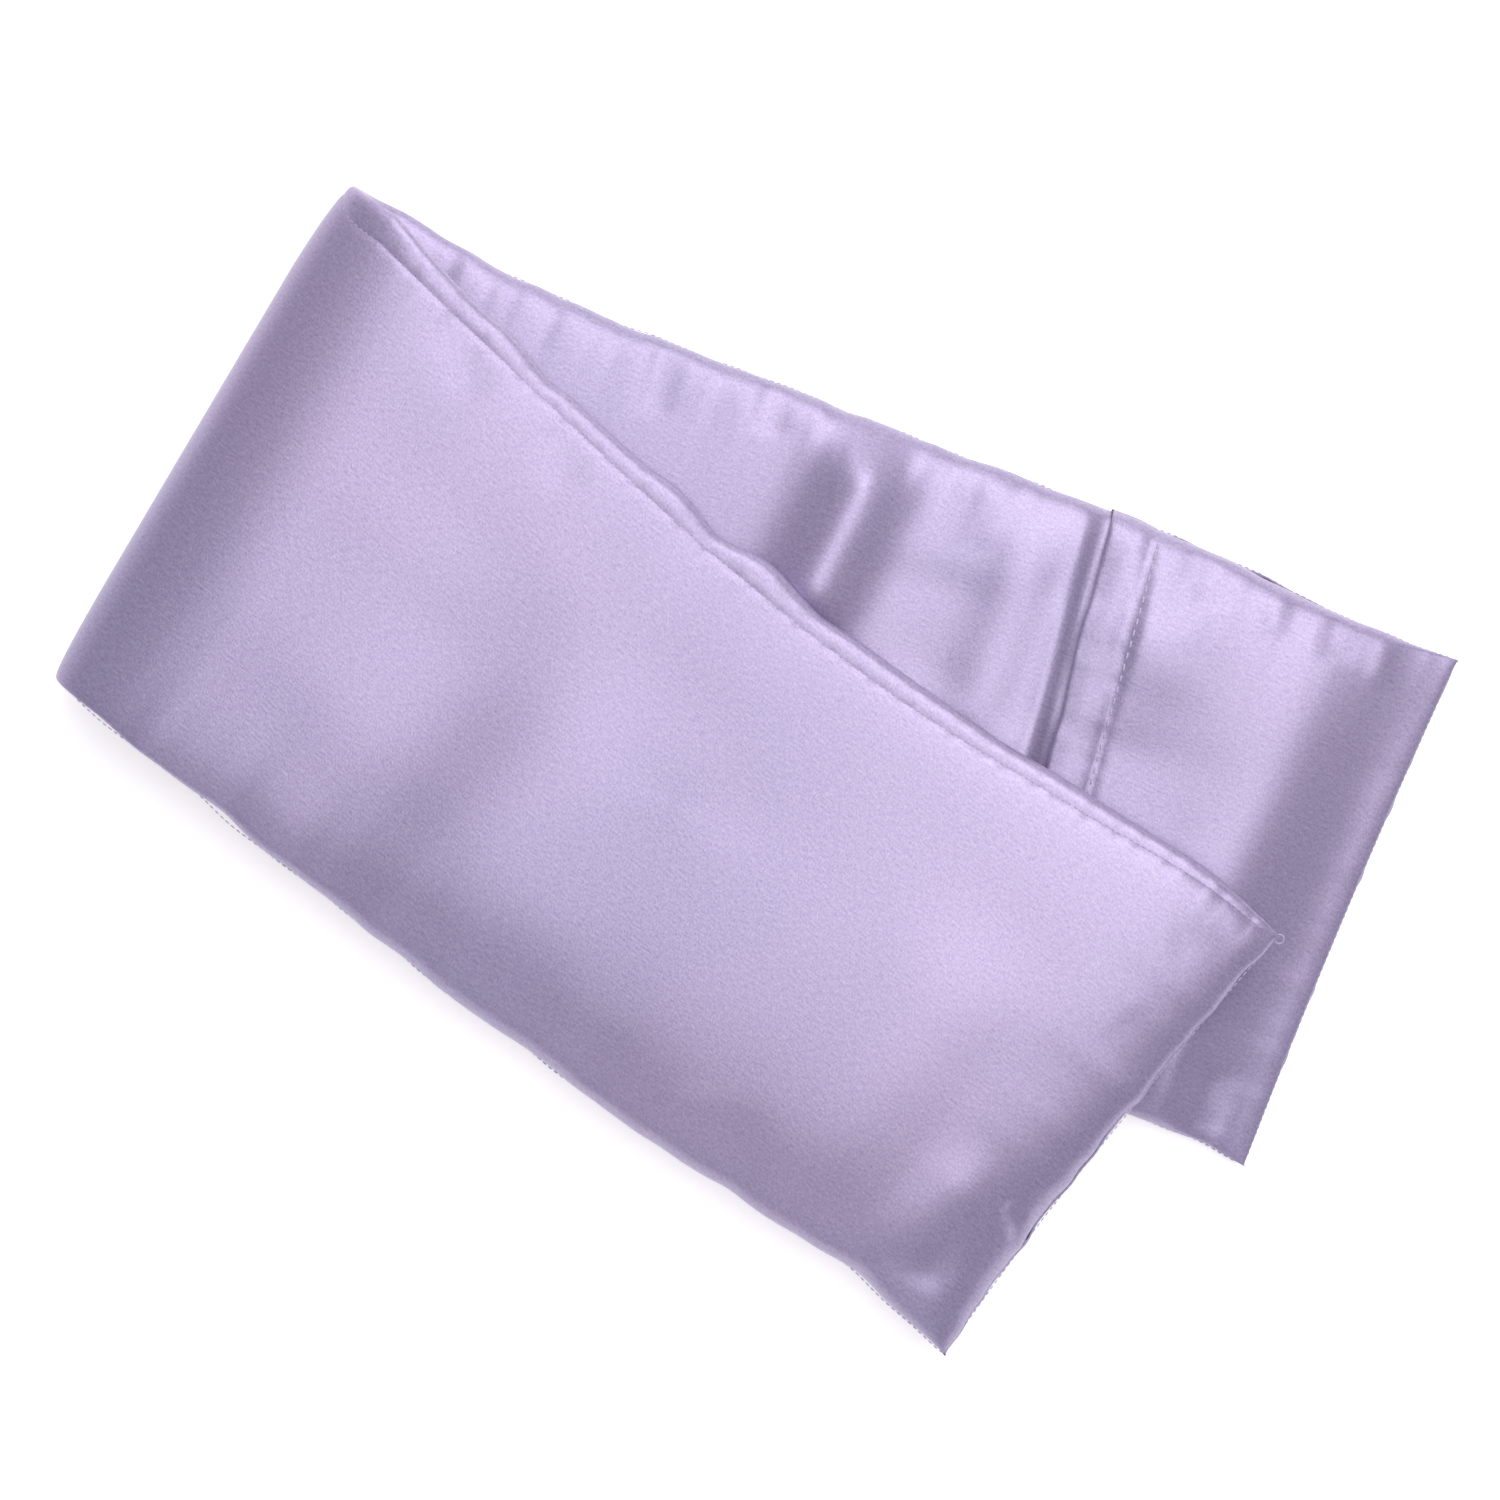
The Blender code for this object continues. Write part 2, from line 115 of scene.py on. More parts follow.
# %% The outlines of the two halves
# points (u, v) along each line, in mm
LOWER_FAR = (
    *((-8, 60.6), (12, 59.0), (30, 56.2), (66, 54.8), (114, 56.2)),
    *((149, 57), (204, 59), (250, 57.4), (263.7, 58.3)),
)
LOWER_NEAR = ((-8, -60.2), (12, -60.0), (130, -58.5), (215, -58.6), (250, -56.9), (263.7, -57.9))
UPPER_FAR = (
    *((-8, 60.6), (12, 60.2), (27, 57.2), (60, 53.2), (98, 50.4)),
    *((153, 50.6), (196, 54.8), (226, 57.6), (244.2, 56)),
)
UPPER_NEAR = (
    *((-8, -60.2), (40, -60.8), (100, -61), (157, -59.4)),
    *((190, -56.8), (212, -54.4), (232, -55.6), (244.2, -56.2)),
)
ROLLED_SEAM = (
    *((-8, 56.5), (8, 54.2), (27, 52.2), (60, 49.2), (98, 46)),
    *((153, 46), (196, 51.2), (226, 55.2), (244.2, 55.2)),
)
# place along the edge, height and reach, in mm
EDGE_PUFFS = (
    *((46, 0.8, 5), (58, -0.8, 4), (92, 0.9, 6), (104, -1.1, 5)),
    *((116, 1.4, 6), (131, -0.7, 5), (176, -0.5, 9)),
)
END_DRAWN_IN = {1: 0.9 * MM, -1: 1.8 * MM}
CORNER_V = 57 * MM
SLIT_U, SLIT_SLANT = 192.7 * MM, 0.147


def puffs(u):
    """The bumps of the rolled strip, each a bell curve: its place, its height and its reach, in mm."""
    total = 0
    for place, height, reach in EDGE_PUFFS:
        total = total + height * MM * np.exp(-(((u / MM - place) / reach) ** 2))
    return total


def edges(side, u):
    """The near and far edge of a half (side 1 is the lower, -1 the upper) at a distance from the fold."""
    if side > 0:
        near = through(u, LOWER_NEAR) + 0.35 * MM * wobble(u, 31)
        return near, through(u, LOWER_FAR) + 0.3 * MM * wobble(u, 27, 1)
    near = through(u, UPPER_NEAR) + 0.6 * MM * wobble(u, 46, 2)
    return near, through(u, UPPER_FAR) + puffs(u)


def place_in_half(u, v, side):
    """X and Y of a point of a half: u and v turned by the half's lean."""
    x = FOLD_X + u * math.cos(SKEW) - v * side * math.sin(SKEW)
    return x, FOLD_Y + u * side * math.sin(SKEW) + v * math.cos(SKEW)


def start_of_half(v, side):
    """The u at which a half meets the plane through the bend's middle."""
    return (BEND_RADIUS + side * v * math.sin(SKEW)) / math.cos(SKEW)


def end_of_half(v, side):
    """The u of the end seam, which is drawn in a little between its two corners."""
    return LENGTH[side] - END_DRAWN_IN[side] * (1 - (v / CORNER_V) ** 2)


def slit(v):
    """The u of the flap's folded edge, which slants across the lower half."""
    return SLIT_U - SLIT_SLANT * v


# %% [markdown]
# Heights come next. The lower half lies flat. The upper half rests on it, and where it reaches past the near
# side of the lower half its loose seeds sink towards the floor. The outer cloth of the fold is tight
# underneath and slack on top, so it comes level more slowly there.

# %% Heights of the faces
CLOSED_GAP = 0.35 * MM
CREASE_CLOSES = 34 * MM
SEAM_SETTLES = 45 * MM
LOWER_SEAM, LOWER_SEAM_DROP = 4.6, 0.6  # height of the lower half's seam at the fold, and its fall, in mm
UPPER_SEAM, UPPER_SEAM_DROP = 0.36, 0.18  # the same for the upper half, as shares of its depth from the top
HANG_START, HANG_LENGTH, HANG_EASE = 46 * MM, 54 * MM, 100 * MM
HUNG_HEIGHT = 0.8 * MM
TOP_START, TOP_LENGTH, TOP_DROP = 46 * MM, 96 * MM, 3.4 * MM
TOP_SLACK = 0.3 * MM
TOP_LEVELS, TOP_POWER = 31 * MM, 2.4
END_ROUNDING = 27 * MM
SLACK_START, SLACK_END = -6 * MM, 32 * MM
SLACK_ROUNDING, SLACK_SHARE = 4 * MM, 0.10


def crease_gap(x):
    """Half the gap inside the fold: the crease radius at the bend, closing along the strip."""
    return CLOSED_GAP + (CREASE_RADIUS - CLOSED_GAP) * (1 - ease((x - BEND_X) / CREASE_CLOSES))


def top_drop(x):
    """How far the top is below its full height near the fold: a quarter of a long superellipse."""
    f = np.clip(1 - (x - FOLD_X) / TOP_LEVELS, 0, 1)
    return (BEND_RADIUS - TOP_SLACK) * (1 - np.sqrt(1 - f**TOP_POWER))


def hang(x, y, start, length):
    """0 where the upper half lies on the lower one, and 1 where it is down, past the lower one's near side."""
    across_lower = (y - FOLD_Y) * math.cos(SKEW) - (x - FOLD_X) * math.sin(SKEW)
    return ease((-across_lower - start) / length) * ease((x - BEND_X) / HANG_EASE)


def heights(side, x, y):
    """The outer face, the inner face and the seam of a half."""
    settled = ease((x - BEND_X) / SEAM_SETTLES)
    if side > 0:
        return 0 * x, BEND_RADIUS - crease_gap(x), (LOWER_SEAM - LOWER_SEAM_DROP * settled) * MM
    hanging = hang(x, y, HANG_START, HANG_LENGTH)
    inner = (BEND_RADIUS + crease_gap(x)) * (1 - hanging) + HUNG_HEIGHT * hanging
    outer = 2 * BEND_RADIUS - TOP_SLACK - TOP_DROP * hang(x, y, TOP_START, TOP_LENGTH) - top_drop(x)
    return outer, inner, outer - (outer - inner) * (UPPER_SEAM + UPPER_SEAM_DROP * settled)


def end_share(to_end, slack):
    """How full the cloth stands at a distance from its end seam: a quarter circle, or where it is slack, an
    eased slope for nine tenths of the height and a small quarter circle for the rest."""

    def quarter(reach):
        return np.sqrt(1 - np.clip(1 - to_end / reach, 0, 1) ** 2)

    slope = ease((to_end - SLACK_START) / (SLACK_END - SLACK_START))
    eased = SLACK_SHARE * quarter(SLACK_ROUNDING) + (1 - SLACK_SHARE) * slope
    return np.where(slack, eased, quarter(END_ROUNDING))


# %% [markdown]
# The section is a superellipse: nearly flat in the middle and round at its seams. It is walked in equal
# steps, so that the mesh has as many points round a seam as its curve needs. One walk goes from the near
# seam over the outer face to the far seam (0 to 0.5) and back over the inner face (0.5 to 1).

# %% The section, walked in equal steps
FULLNESS = 4.0
FINE_STEPS = 20001
HALF_WIDTH, HALF_DEPTH = 58, 8  # a usual section, in mm
turn = np.linspace(0, math.pi, FINE_STEPS)
walk_across = -np.sign(np.cos(turn)) * np.abs(np.cos(turn)) ** (2 / FULLNESS)
walk_depth = np.abs(np.sin(turn)) ** (2 / FULLNESS)
steps = np.hypot(HALF_WIDTH * np.diff(walk_across), HALF_DEPTH * np.diff(walk_depth))
walked = np.concatenate([[0], np.cumsum(steps)])
walked /= walked[-1]


def section(p):
    """Share across (-1 near, 1 far) and share of the depth (outer face positive) at a share of the walk."""
    half_walk = np.where(p < 0.5, 2 * p, 2 - 2 * p)
    depth = np.interp(half_walk, walked, walk_depth)
    return np.interp(half_walk, walked, walk_across), np.where(p < 0.5, depth, -depth)


def place_of_seam(u):
    """The share of the walk at the upper half's rolled seam: where the outer face reaches the seam's line."""
    near, far = edges(-1, u)
    across = (2 * through(u, ROLLED_SEAM) - near - far) / (far - near)
    return np.interp(across, walk_across, walked) / 2


# %% [markdown]
# Cloth that is slack shows creases. Each one here is a bell-shaped ridge or valley along a line, and it
# fades at both ends. The hem, the slit and the rolled seam press the cloth in, and thread pulled tight
# puckers it beside a seam.

# %% Creases in the cloth
# start (u, v), end (u, v), reach and height, all in mm
LOWER_TOP_CREASES = (
    ((134.4, 54), (131.6, 6), 9.0, 6.2),
    ((84, 55), (88, 38), 4, -0.5),
    ((108, 56), (112, 44), 4, -0.6),
    ((160, 56), (163, 40), 6.0, 0.5),
    ((187, 50), (189, 0), 5.0, 0.35),
    ((206, 57), (212, 47), 4, -0.6),
    ((222, 57), (226, 47), 3.4, 0.4),
    ((236, 57), (240, 46), 4, -0.5),
    ((248, 57), (250, 46), 3, 0.4),
    ((232, -57), (236, -34), 4, -1.0),
    ((243, -57), (241, -36), 4, 0.9),
    ((252, -57), (249, -40), 3.5, -0.8),
)
LOWER_TOP_SWINGS = (
    ((176, 52), (179, 2), 9, -2.4),
    ((176, 40), (181, 8), 26, 2.0),
    ((244, 52), (240, -60), 16, -1.6),
)
UPPER_TOP_CREASES = (
    ((62, 20), (55, -40), 26, 0.5),
    ((228, -16), (216, -58), 7, 1.0),
    ((236, -40), (216, -54), 4.5, -1.2),
    ((190, -58), (176, -42), 6, -0.4),
    ((180, -58), (164, -46), 7, 0.3),
    ((150, -60), (142, -48), 7, -0.5),
    ((27, 52), (44, 40), 5, -0.45),
    ((60, 48), (70, 36), 5, -0.35),
    ((238, 50), (226, 40), 5, -0.25),
    ((242, 20), (228, 24), 6, -0.2),
    ((243, -28), (234, -22), 2.2, -1.0),
    ((12, -30), (6, -58), 6, 0.5),
)
UPPER_TOP_SWINGS = (
    ((90, 20), (86, -70), 22, 2.9),
    ((212, 22), (206, -66), 22, -2.7),
)


def ridge(off):
    """A bell: the section of a ridge or a valley."""
    return np.exp(-(off**2))


def swing(off):
    """A bell times its own distance: a slope between a rise on one side and an equal fall on the other."""
    return off * np.exp(-(off**2))


def creases(u, v, lines, shape):
    """The sum of the creases at a point: their shape across each line times an eased fade at its ends."""
    total = 0 * (u + v)
    for (u1, v1), (u2, v2), reach, height in lines:
        long = math.hypot(u2 - u1, v2 - v1)
        du, dv = (u2 - u1) / long, (v2 - v1) / long
        along = (u / MM - u1) * du + (v / MM - v1) * dv
        off = (v / MM - v1) * du - (u / MM - u1) * dv
        fade_length = min(2.5 * reach, 0.4 * long)
        fade = ease(along / fade_length + 0.2) * ease((long - along) / fade_length + 0.2)
        total = total + height * MM * fade * shape(off / reach)
    return total


def bell(distance, reach):
    """1 on a line and falling away from it as a bell, with the reach in mm."""
    return np.exp(-((distance / (reach * MM)) ** 2))


def relief(side, u, v, depth):
    """How far the cloth stands out from its smooth shape: its creases, puckers beside the seams and a soft
    unevenness. A term is a height times uneven waves (their periods in mm) and a fade away from its seam."""
    near, far = edges(side, u)
    if side > 0:
        top = creases(u, v, LOWER_TOP_CREASES, ridge) + creases(u, v, LOWER_TOP_SWINGS, swing)
        body = 0.2 * MM * wobble(u, 58, 1) * wobble(v, 47, 2) + top * np.clip(-2 * depth, 0, 1)
        for gap, turned in ((far - v, 1), (v - near, 3)):
            body = body + 0.5 * MM * wobble(u, 13, turned) * np.exp(-gap / (7 * MM)) * np.abs(depth)
        end = end_of_half(v, side) - u
        return body + 0.35 * MM * wobble(v, 14, 4) * np.exp(-end / (8 * MM)) * np.abs(depth)
    seam = through(u, ROLLED_SEAM)
    outer = depth > 0
    top = creases(u, v, UPPER_TOP_CREASES, ridge) + creases(u, v, UPPER_TOP_SWINGS, swing)
    body = 0.16 * MM * wobble(u, 76, 1) * wobble(v, 61, 2) + top * np.clip(2 * depth, 0, 1)
    body = body + 0.16 * MM * wobble(u, 6.5, 2) * np.exp(-np.abs(v - seam) / (3.5 * MM)) * outer
    body = body + 0.5 * MM * wobble(u, 24, 3) * np.exp(-(v - near) / (9 * MM)) * np.abs(depth)
    end = end_of_half(v, side) - u
    return body + 0.5 * MM * wobble(v, 21, 4) * np.exp(-end / (9 * MM)) * np.abs(depth)


# %% [markdown]
# Every sheet of the cover is one grid: rows along the strip, columns across it. Three kinds of rows make a
# strip: the lower half, the bend and the upper half. All pieces are cut from whole grids, so two neighbours
# share their cut row exactly, with the same points and the same normals, and no join shows.

# %% Grids of the strip
FLATTER = 0.1  # how much sooner the underside comes level, because it lies on the table
NEAR_SEAM_OUT = 0.55  # how far the near seam runs outwards round the bend, as a share


def half_rows(side, rows, p, last, inset=0.0):
    """Points, cloth coordinates and local coordinates of a half, drawn in by an inset. Its rows are shares of
    the way to `last`. The cover closes at its end seam, and a pouch inside it closes at its own end."""
    closed_at = last if inset else end_of_half
    middle_start, middle_end = start_of_half(0, side), last(0, side)
    line = middle_start + rows[:, None] * (middle_end - middle_start)
    across, depth = section(p)
    near, far = edges(side, line)
    near, far = near + inset, far - inset
    v = (near + far) / 2 + (far - near) / 2 * across
    start = start_of_half(v, side)
    u = start + rows[:, None] * (last(v, side) - start)
    x, y = place_in_half(u, v, side)
    outer, inner, seam = heights(side, x, y)
    share = np.abs(depth)
    if side > 0:
        share = np.where(depth > 0, np.minimum(share * (1 + FLATTER), 1), share)
        outer, inner = outer + inset, inner - inset
    else:
        outer, inner = outer - inset, inner + inset
    closing = end_share(closed_at(v, side) - u, (side > 0) & (depth < 0))
    z = seam + (np.where(depth > 0, outer, inner) - seam) * share * closing
    strip = BEND_RADIUS * math.pi / 2 + u - start
    return np.stack([x, y, z], -1), np.stack([-side * strip, v], -1), (side, u, v, depth)


def bend_rows(angles, p, inset=0.0):
    """The same for the bend: the section is turned about the crease, between an outer and an inner curve."""
    angle = angles[:, None]
    turned = angle / math.pi
    across, depth = section(p)
    y, v = 0, 0
    for side, weight in ((1, 1 - turned), (-1, turned)):
        near, far = edges(side, start_of_half(0, side) + 0 * turned)
        near, far = near + inset, far - inset
        over = (near + far) / 2 + (far - near) / 2 * across
        y = y + weight * place_in_half(start_of_half(over, side), over, side)[1]
        v = v + weight * over
    x_out = BEND_X - BEND_RADIUS * np.sin(angle)
    low = BEND_RADIUS - BEND_RADIUS * np.cos(angle)
    high = 2 * BEND_RADIUS - TOP_SLACK - top_drop(x_out)
    outer = np.stack([x_out, 0 * x_out, np.where(turned > 0.5, high, low)], -1)
    spoke = np.stack([-np.sin(angle), 0 * angle, -np.cos(angle)], -1)
    centre = np.array([BEND_X, 0, BEND_RADIUS])
    inner = centre + (CREASE_RADIUS + inset) * spoke
    outer = outer - inset * spoke
    low_share = LOWER_SEAM * MM / (BEND_RADIUS - CREASE_RADIUS)
    set_in = low_share + (UPPER_SEAM - low_share) * ease(turned)
    set_in = set_in * (1 - NEAR_SEAM_OUT * np.sin(angle) * (across < 0))
    seam = outer + (inner - outer) * set_in[..., None]
    share = np.abs(depth)
    share = np.where(depth > 0, np.minimum(share * (1 + FLATTER * (1 - turned)), 1), share)
    face = np.where((depth > 0)[..., None], outer, inner)
    points = seam + (face - seam) * share[..., None] + np.stack([0 * y, y, 0 * y], -1)
    side = np.where(turned > 0.5, -1, 1)
    u = BEND_RADIUS - BEND_RADIUS * np.minimum(angle, math.pi - angle) + 0 * v
    return points, np.stack([BEND_RADIUS * (angle - math.pi / 2) + 0 * v, v], -1), (side, u, v, depth)


def grid_normals(points):
    """Unit normals of a grid, from the cross of its two directions. A strip's own normals point outwards."""
    normal = np.cross(np.gradient(points, axis=0), np.gradient(points, axis=1))
    size = np.linalg.norm(normal, axis=-1, keepdims=True)
    return normal / np.maximum(size, 1e-12)


ROW_STEP = 1.15 * MM
ROUND_ROWS = 40  # rows round an end seam
BEND_STEPS = 20  # rows in each eighth of a turn
ROUND_SECTION = 262 * MM  # the walk once round the section
TUCK_LENGTH, TUCK_DEPTH, TUCK_EASE = 32 * MM, 2.5 * MM, 6 * MM
RELIEF_EASE, RELIEF_AT_BEND = 12 * MM, 0.4
BEND_RELIEF = 0.4


def end_shares(side, step):
    """Shares of a half's rows: even steps, then steps of equal angle round the end seam."""
    start, length = start_of_half(0, side), end_of_half(0, side)
    plain = np.arange(start, length - END_ROUNDING, step)
    round_end = length - END_ROUNDING + END_ROUNDING * np.sin(np.linspace(0, math.pi / 2, ROUND_ROWS))
    return (np.concatenate([plain, round_end]) - start) / (length - start)


lower_shares, upper_shares = end_shares(1, ROW_STEP), end_shares(-1, ROW_STEP)
bend_angles = np.linspace(0, math.pi, 4 * BEND_STEPS + 1)[1:-1]
upper_line = start_of_half(0, -1) + upper_shares * (end_of_half(0, -1) - start_of_half(0, -1))
print(f"{len(lower_shares)} + {len(bend_angles)} + {len(upper_shares)} rows along the strip")


def under_flap(v, side):
    """The u at which the back panel ends, tucked under the flap."""
    return slit(v) + TUCK_LENGTH


def tuck_depth(u, v):
    """How far the back panel dips to pass under the flap's folded edge."""
    return TUCK_DEPTH * ease((u - slit(v)) / TUCK_EASE + 1.0)


def seam_places(lower_rows):
    """The walk's share at the seam for each row: the far edge below, rolling over to the outer face above."""
    roll = place_of_seam(upper_line)
    first = roll[0]
    turned = bend_angles / math.pi
    bend = 0.5 + (first - 0.5) * ease(turned)
    return np.concatenate([np.full(lower_rows, 0.5), bend, roll])


def seam_press(p, seam):
    """How far the cloth stands out beside its seams: pressed in at both, and puffy past the rolled seam."""
    seam = seam[:, None]
    from_far = (p - seam) * ROUND_SECTION
    from_near = np.minimum(p, 1 - p) * ROUND_SECTION
    strip = np.maximum(0.5 - seam, 1e-4)
    from_middle = (p - 0.5 + 0.5 * strip) / (0.34 * strip)
    puff = 0.07 * strip * ROUND_SECTION * ridge(from_middle) * (p < 0.5)
    rolled = ease((0.5 - seam) * ROUND_SECTION / (3 * MM))
    far_press = (0.2 + 0.12 * rolled) * MM * bell(from_far, 0.75)
    near_press = 0.25 * MM * bell(from_near, 0.8)
    return puff - far_press - near_press


def strip_grid(p, seam, lower, last, tuck, inset=0.0):
    """A whole sheet of the strip, from the end of the lower half round the bend to the end of the upper half:
    the smooth shape first, and then the relief, moved along its normals."""
    count = len(lower)
    parts = [
        half_rows(1, lower[::-1], p[:count], last, inset),
        bend_rows(bend_angles, p[count : count + len(bend_angles)], inset),
        half_rows(-1, upper_shares, p[count + len(bend_angles) :], end_of_half, inset),
    ]
    points = np.concatenate([part[0] for part in parts])
    cloth = np.concatenate([part[1] for part in parts])
    normal = grid_normals(points)
    raised = np.concatenate([relief_of(*part[2]) for part in parts]) + seam_press(p, seam)
    if tuck:
        _, u, v, depth = parts[0][2]
        raised[:count] -= tuck_depth(u, v) * np.abs(depth)
    points = points + normal * raised[..., None]
    return points, cloth, grid_normals(points)


def relief_of(side, u, v, depth):
    """The relief of rows of one side, or of the bend's rows, where it fades into the folded cloth."""
    if np.ndim(side) == 0:
        past_bend = u - start_of_half(v, side)
        return relief(side, u, v, depth) * ease(past_bend / RELIEF_EASE + RELIEF_AT_BEND)
    whole = np.where(side < 0, relief(-1, u, v, depth), relief(1, u, v, depth))
    return whole * BEND_RELIEF * ease(RELIEF_AT_BEND)


# %% [markdown]
# A sheet becomes a mesh with the thickness of cloth: the grid, a second grid a little inside it, and a
# narrow rim that joins them. Its own normals are kept as custom normals, so the shading runs on across a
# cut.

# %% From a grid to a piece of cloth
CLOTH, THIN_CLOTH = 0.38 * MM, 0.3 * MM


def new_mesh(name, vertices, faces, uv=None, loop_normals=None):
    """A mesh object from points and quads, with cloth coordinates and custom normals where they are given."""
    mesh = bpy.data.meshes.new(name)
    mesh.vertices.add(len(vertices))
    mesh.vertices.foreach_set("co", vertices.ravel())
    mesh.loops.add(faces.size)
    mesh.loops.foreach_set("vertex_index", faces.ravel().astype(np.int32))
    mesh.polygons.add(len(faces))
    mesh.polygons.foreach_set("loop_start", np.arange(0, faces.size, faces.shape[1], dtype=np.int32))
    mesh.update(calc_edges=True)
    if uv is not None:
        layer = mesh.uv_layers.new(name="cloth")
        layer.data.foreach_set("uv", uv[faces.ravel()].ravel())
    mesh.validate()
    mesh.shade_smooth()
    if loop_normals is not None:
        mesh.normals_split_custom_set(loop_normals)
    piece = bpy.data.objects.new(name, mesh)
    bpy.context.scene.collection.objects.link(piece)
    return piece


def quads(rows, columns):
    """The quads of a grid, each wound from its row to the next."""
    index = np.arange(rows * columns).reshape(rows, columns)
    corners = index[:-1, :-1], index[:-1, 1:], index[1:, 1:], index[1:, :-1]
    return np.stack(corners, -1).reshape(-1, 4)


def cloth_sheet(name, points, cloth, normal, thickness=CLOTH):
    """A closed sheet: the grid, its copy inside it and the rim between the two."""
    rows, columns = points.shape[:2]
    inside = points - thickness * normal
    faces = quads(rows, columns)
    count = rows * columns
    index = np.arange(count).reshape(rows, columns)
    border = np.concatenate([index[0], index[1:, -1], index[-1, -2::-1], index[-2:0:-1, 0]])
    following = np.roll(border, -1)
    rim = np.stack([following, border, border + count, following + count], -1)
    plain = 2 * len(faces)
    faces = np.concatenate([faces, faces[:, ::-1] + count, rim])
    vertices = np.concatenate([points.reshape(-1, 3), inside.reshape(-1, 3)])
    spot = vertices[faces]
    flat = np.cross(spot[:, 2] - spot[:, 0], spot[:, 3] - spot[:, 1])
    middle = (rows // 2) * (columns - 1) + columns // 2
    turned = np.sign(np.dot(flat[middle], normal.reshape(-1, 3)[faces[middle, 0]]))
    both = np.concatenate([normal.reshape(-1, 3), -normal.reshape(-1, 3)])
    loops = both[faces]
    size = np.maximum(np.linalg.norm(flat, axis=-1, keepdims=True), 1e-15)
    loops[plain:] = turned * (flat / size)[plain:, None]
    if turned < 0:
        faces, loops = faces[:, ::-1], loops[:, ::-1]
    uv = np.concatenate([cloth.reshape(-1, 2)] * 2)
    return new_mesh(name, vertices, faces, uv, loops.reshape(-1, 3))


# %% [markdown]
# The front panel is the outer face of the folded pillow. The back panel is the inner one, and on the upper
# half it rolls over the far edge to the seam. Each is cut in the middle of the three fold segments, so every
# piece crosses one hinge only.

# %% The two panels of the cover
FRONT_COLUMNS, BACK_COLUMNS = 122, 132
BACK_ROWS = 196  # even rows of the back panel's lower half
THREAD_LIFT = 0.05 * MM
bodies = ["lower_half", "fold_segment_1", "fold_segment_2", "fold_segment_3", "upper_half"]
PIECE_NAMES = ["lower", "fold_low", "fold_high", "upper"]


def columns_between(first, last, count):
    """Shares of the walk from one seam to the other, one row for each row of the strip."""
    return first[:, None] + (last - first)[:, None] * np.linspace(0, 1, count)


def cut_strip(points, lower_count):
    """The row ranges of the four pieces, cut at the middle of each fold segment, with shared rows."""
    cuts = [lower_count - 1 + BEND_STEPS * k for k in (1, 2, 3)]
    stops = [0, *cuts, len(points) - 1]
    return [slice(first, last + 1) for first, last in zip(stops, stops[1:])]


def blend_at(piece, number):
    """Bakes a piece's placement into its mesh; the hinge and the body it looks up are not used, so it bends
    nothing.
    """
    pivot = hinges[f"fold_hinge_{number + 1}"]
    bodies[number + 1]
    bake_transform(piece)


panels = {}
for panel, lower, last, columns, tuck in (
    ("front", lower_shares, end_of_half, FRONT_COLUMNS, False),
    ("back", np.linspace(0, 1, BACK_ROWS), under_flap, BACK_COLUMNS, True),
):
    seam = seam_places(len(lower))
    ends = (0 * seam, seam) if panel == "front" else (seam, 0 * seam + 1)
    points, cloth, normal = strip_grid(columns_between(*ends, columns), seam, lower, last, tuck)
    if panel == "front":
        rolled_line = points[:, -1] + THREAD_LIFT * normal[:, -1]
    for number, rows in enumerate(cut_strip(points, len(lower))):
        name = f"{PIECE_NAMES[number]}_{panel}_cover"
        piece = cloth_sheet(name, points[rows], cloth[rows], normal[rows])
        panels[panel, number] = piece
        print(f"{name}: {len(piece.data.polygons)} faces")

# %% [markdown]
# The envelope opening is a second, shorter back panel. Its cloth is turned under by 10 mm, so the folded
# edge is a soft round lip over the tucked end of the long panel. One sheet makes all of it: it starts as the
# turn, curls round the edge and runs on over the fill to the end seam.

# %% The opening flap
HEM = 10 * MM
LIP = 0.75 * MM
TURN_ROWS, CURL_ROWS, PLAIN_ROWS, FLAP_ROUND_ROWS = 12, 9, 44, 36
FLAP_COLUMNS = 118
FLAP_MIDDLE = FLAP_COLUMNS // 2
FLAP_TOP_ROW = -30  # a row on the flap's upper side, counted from the end seam
GRAIN_SHIFT = 0.3  # keeps the flap's grain from repeating the panel's, in metres


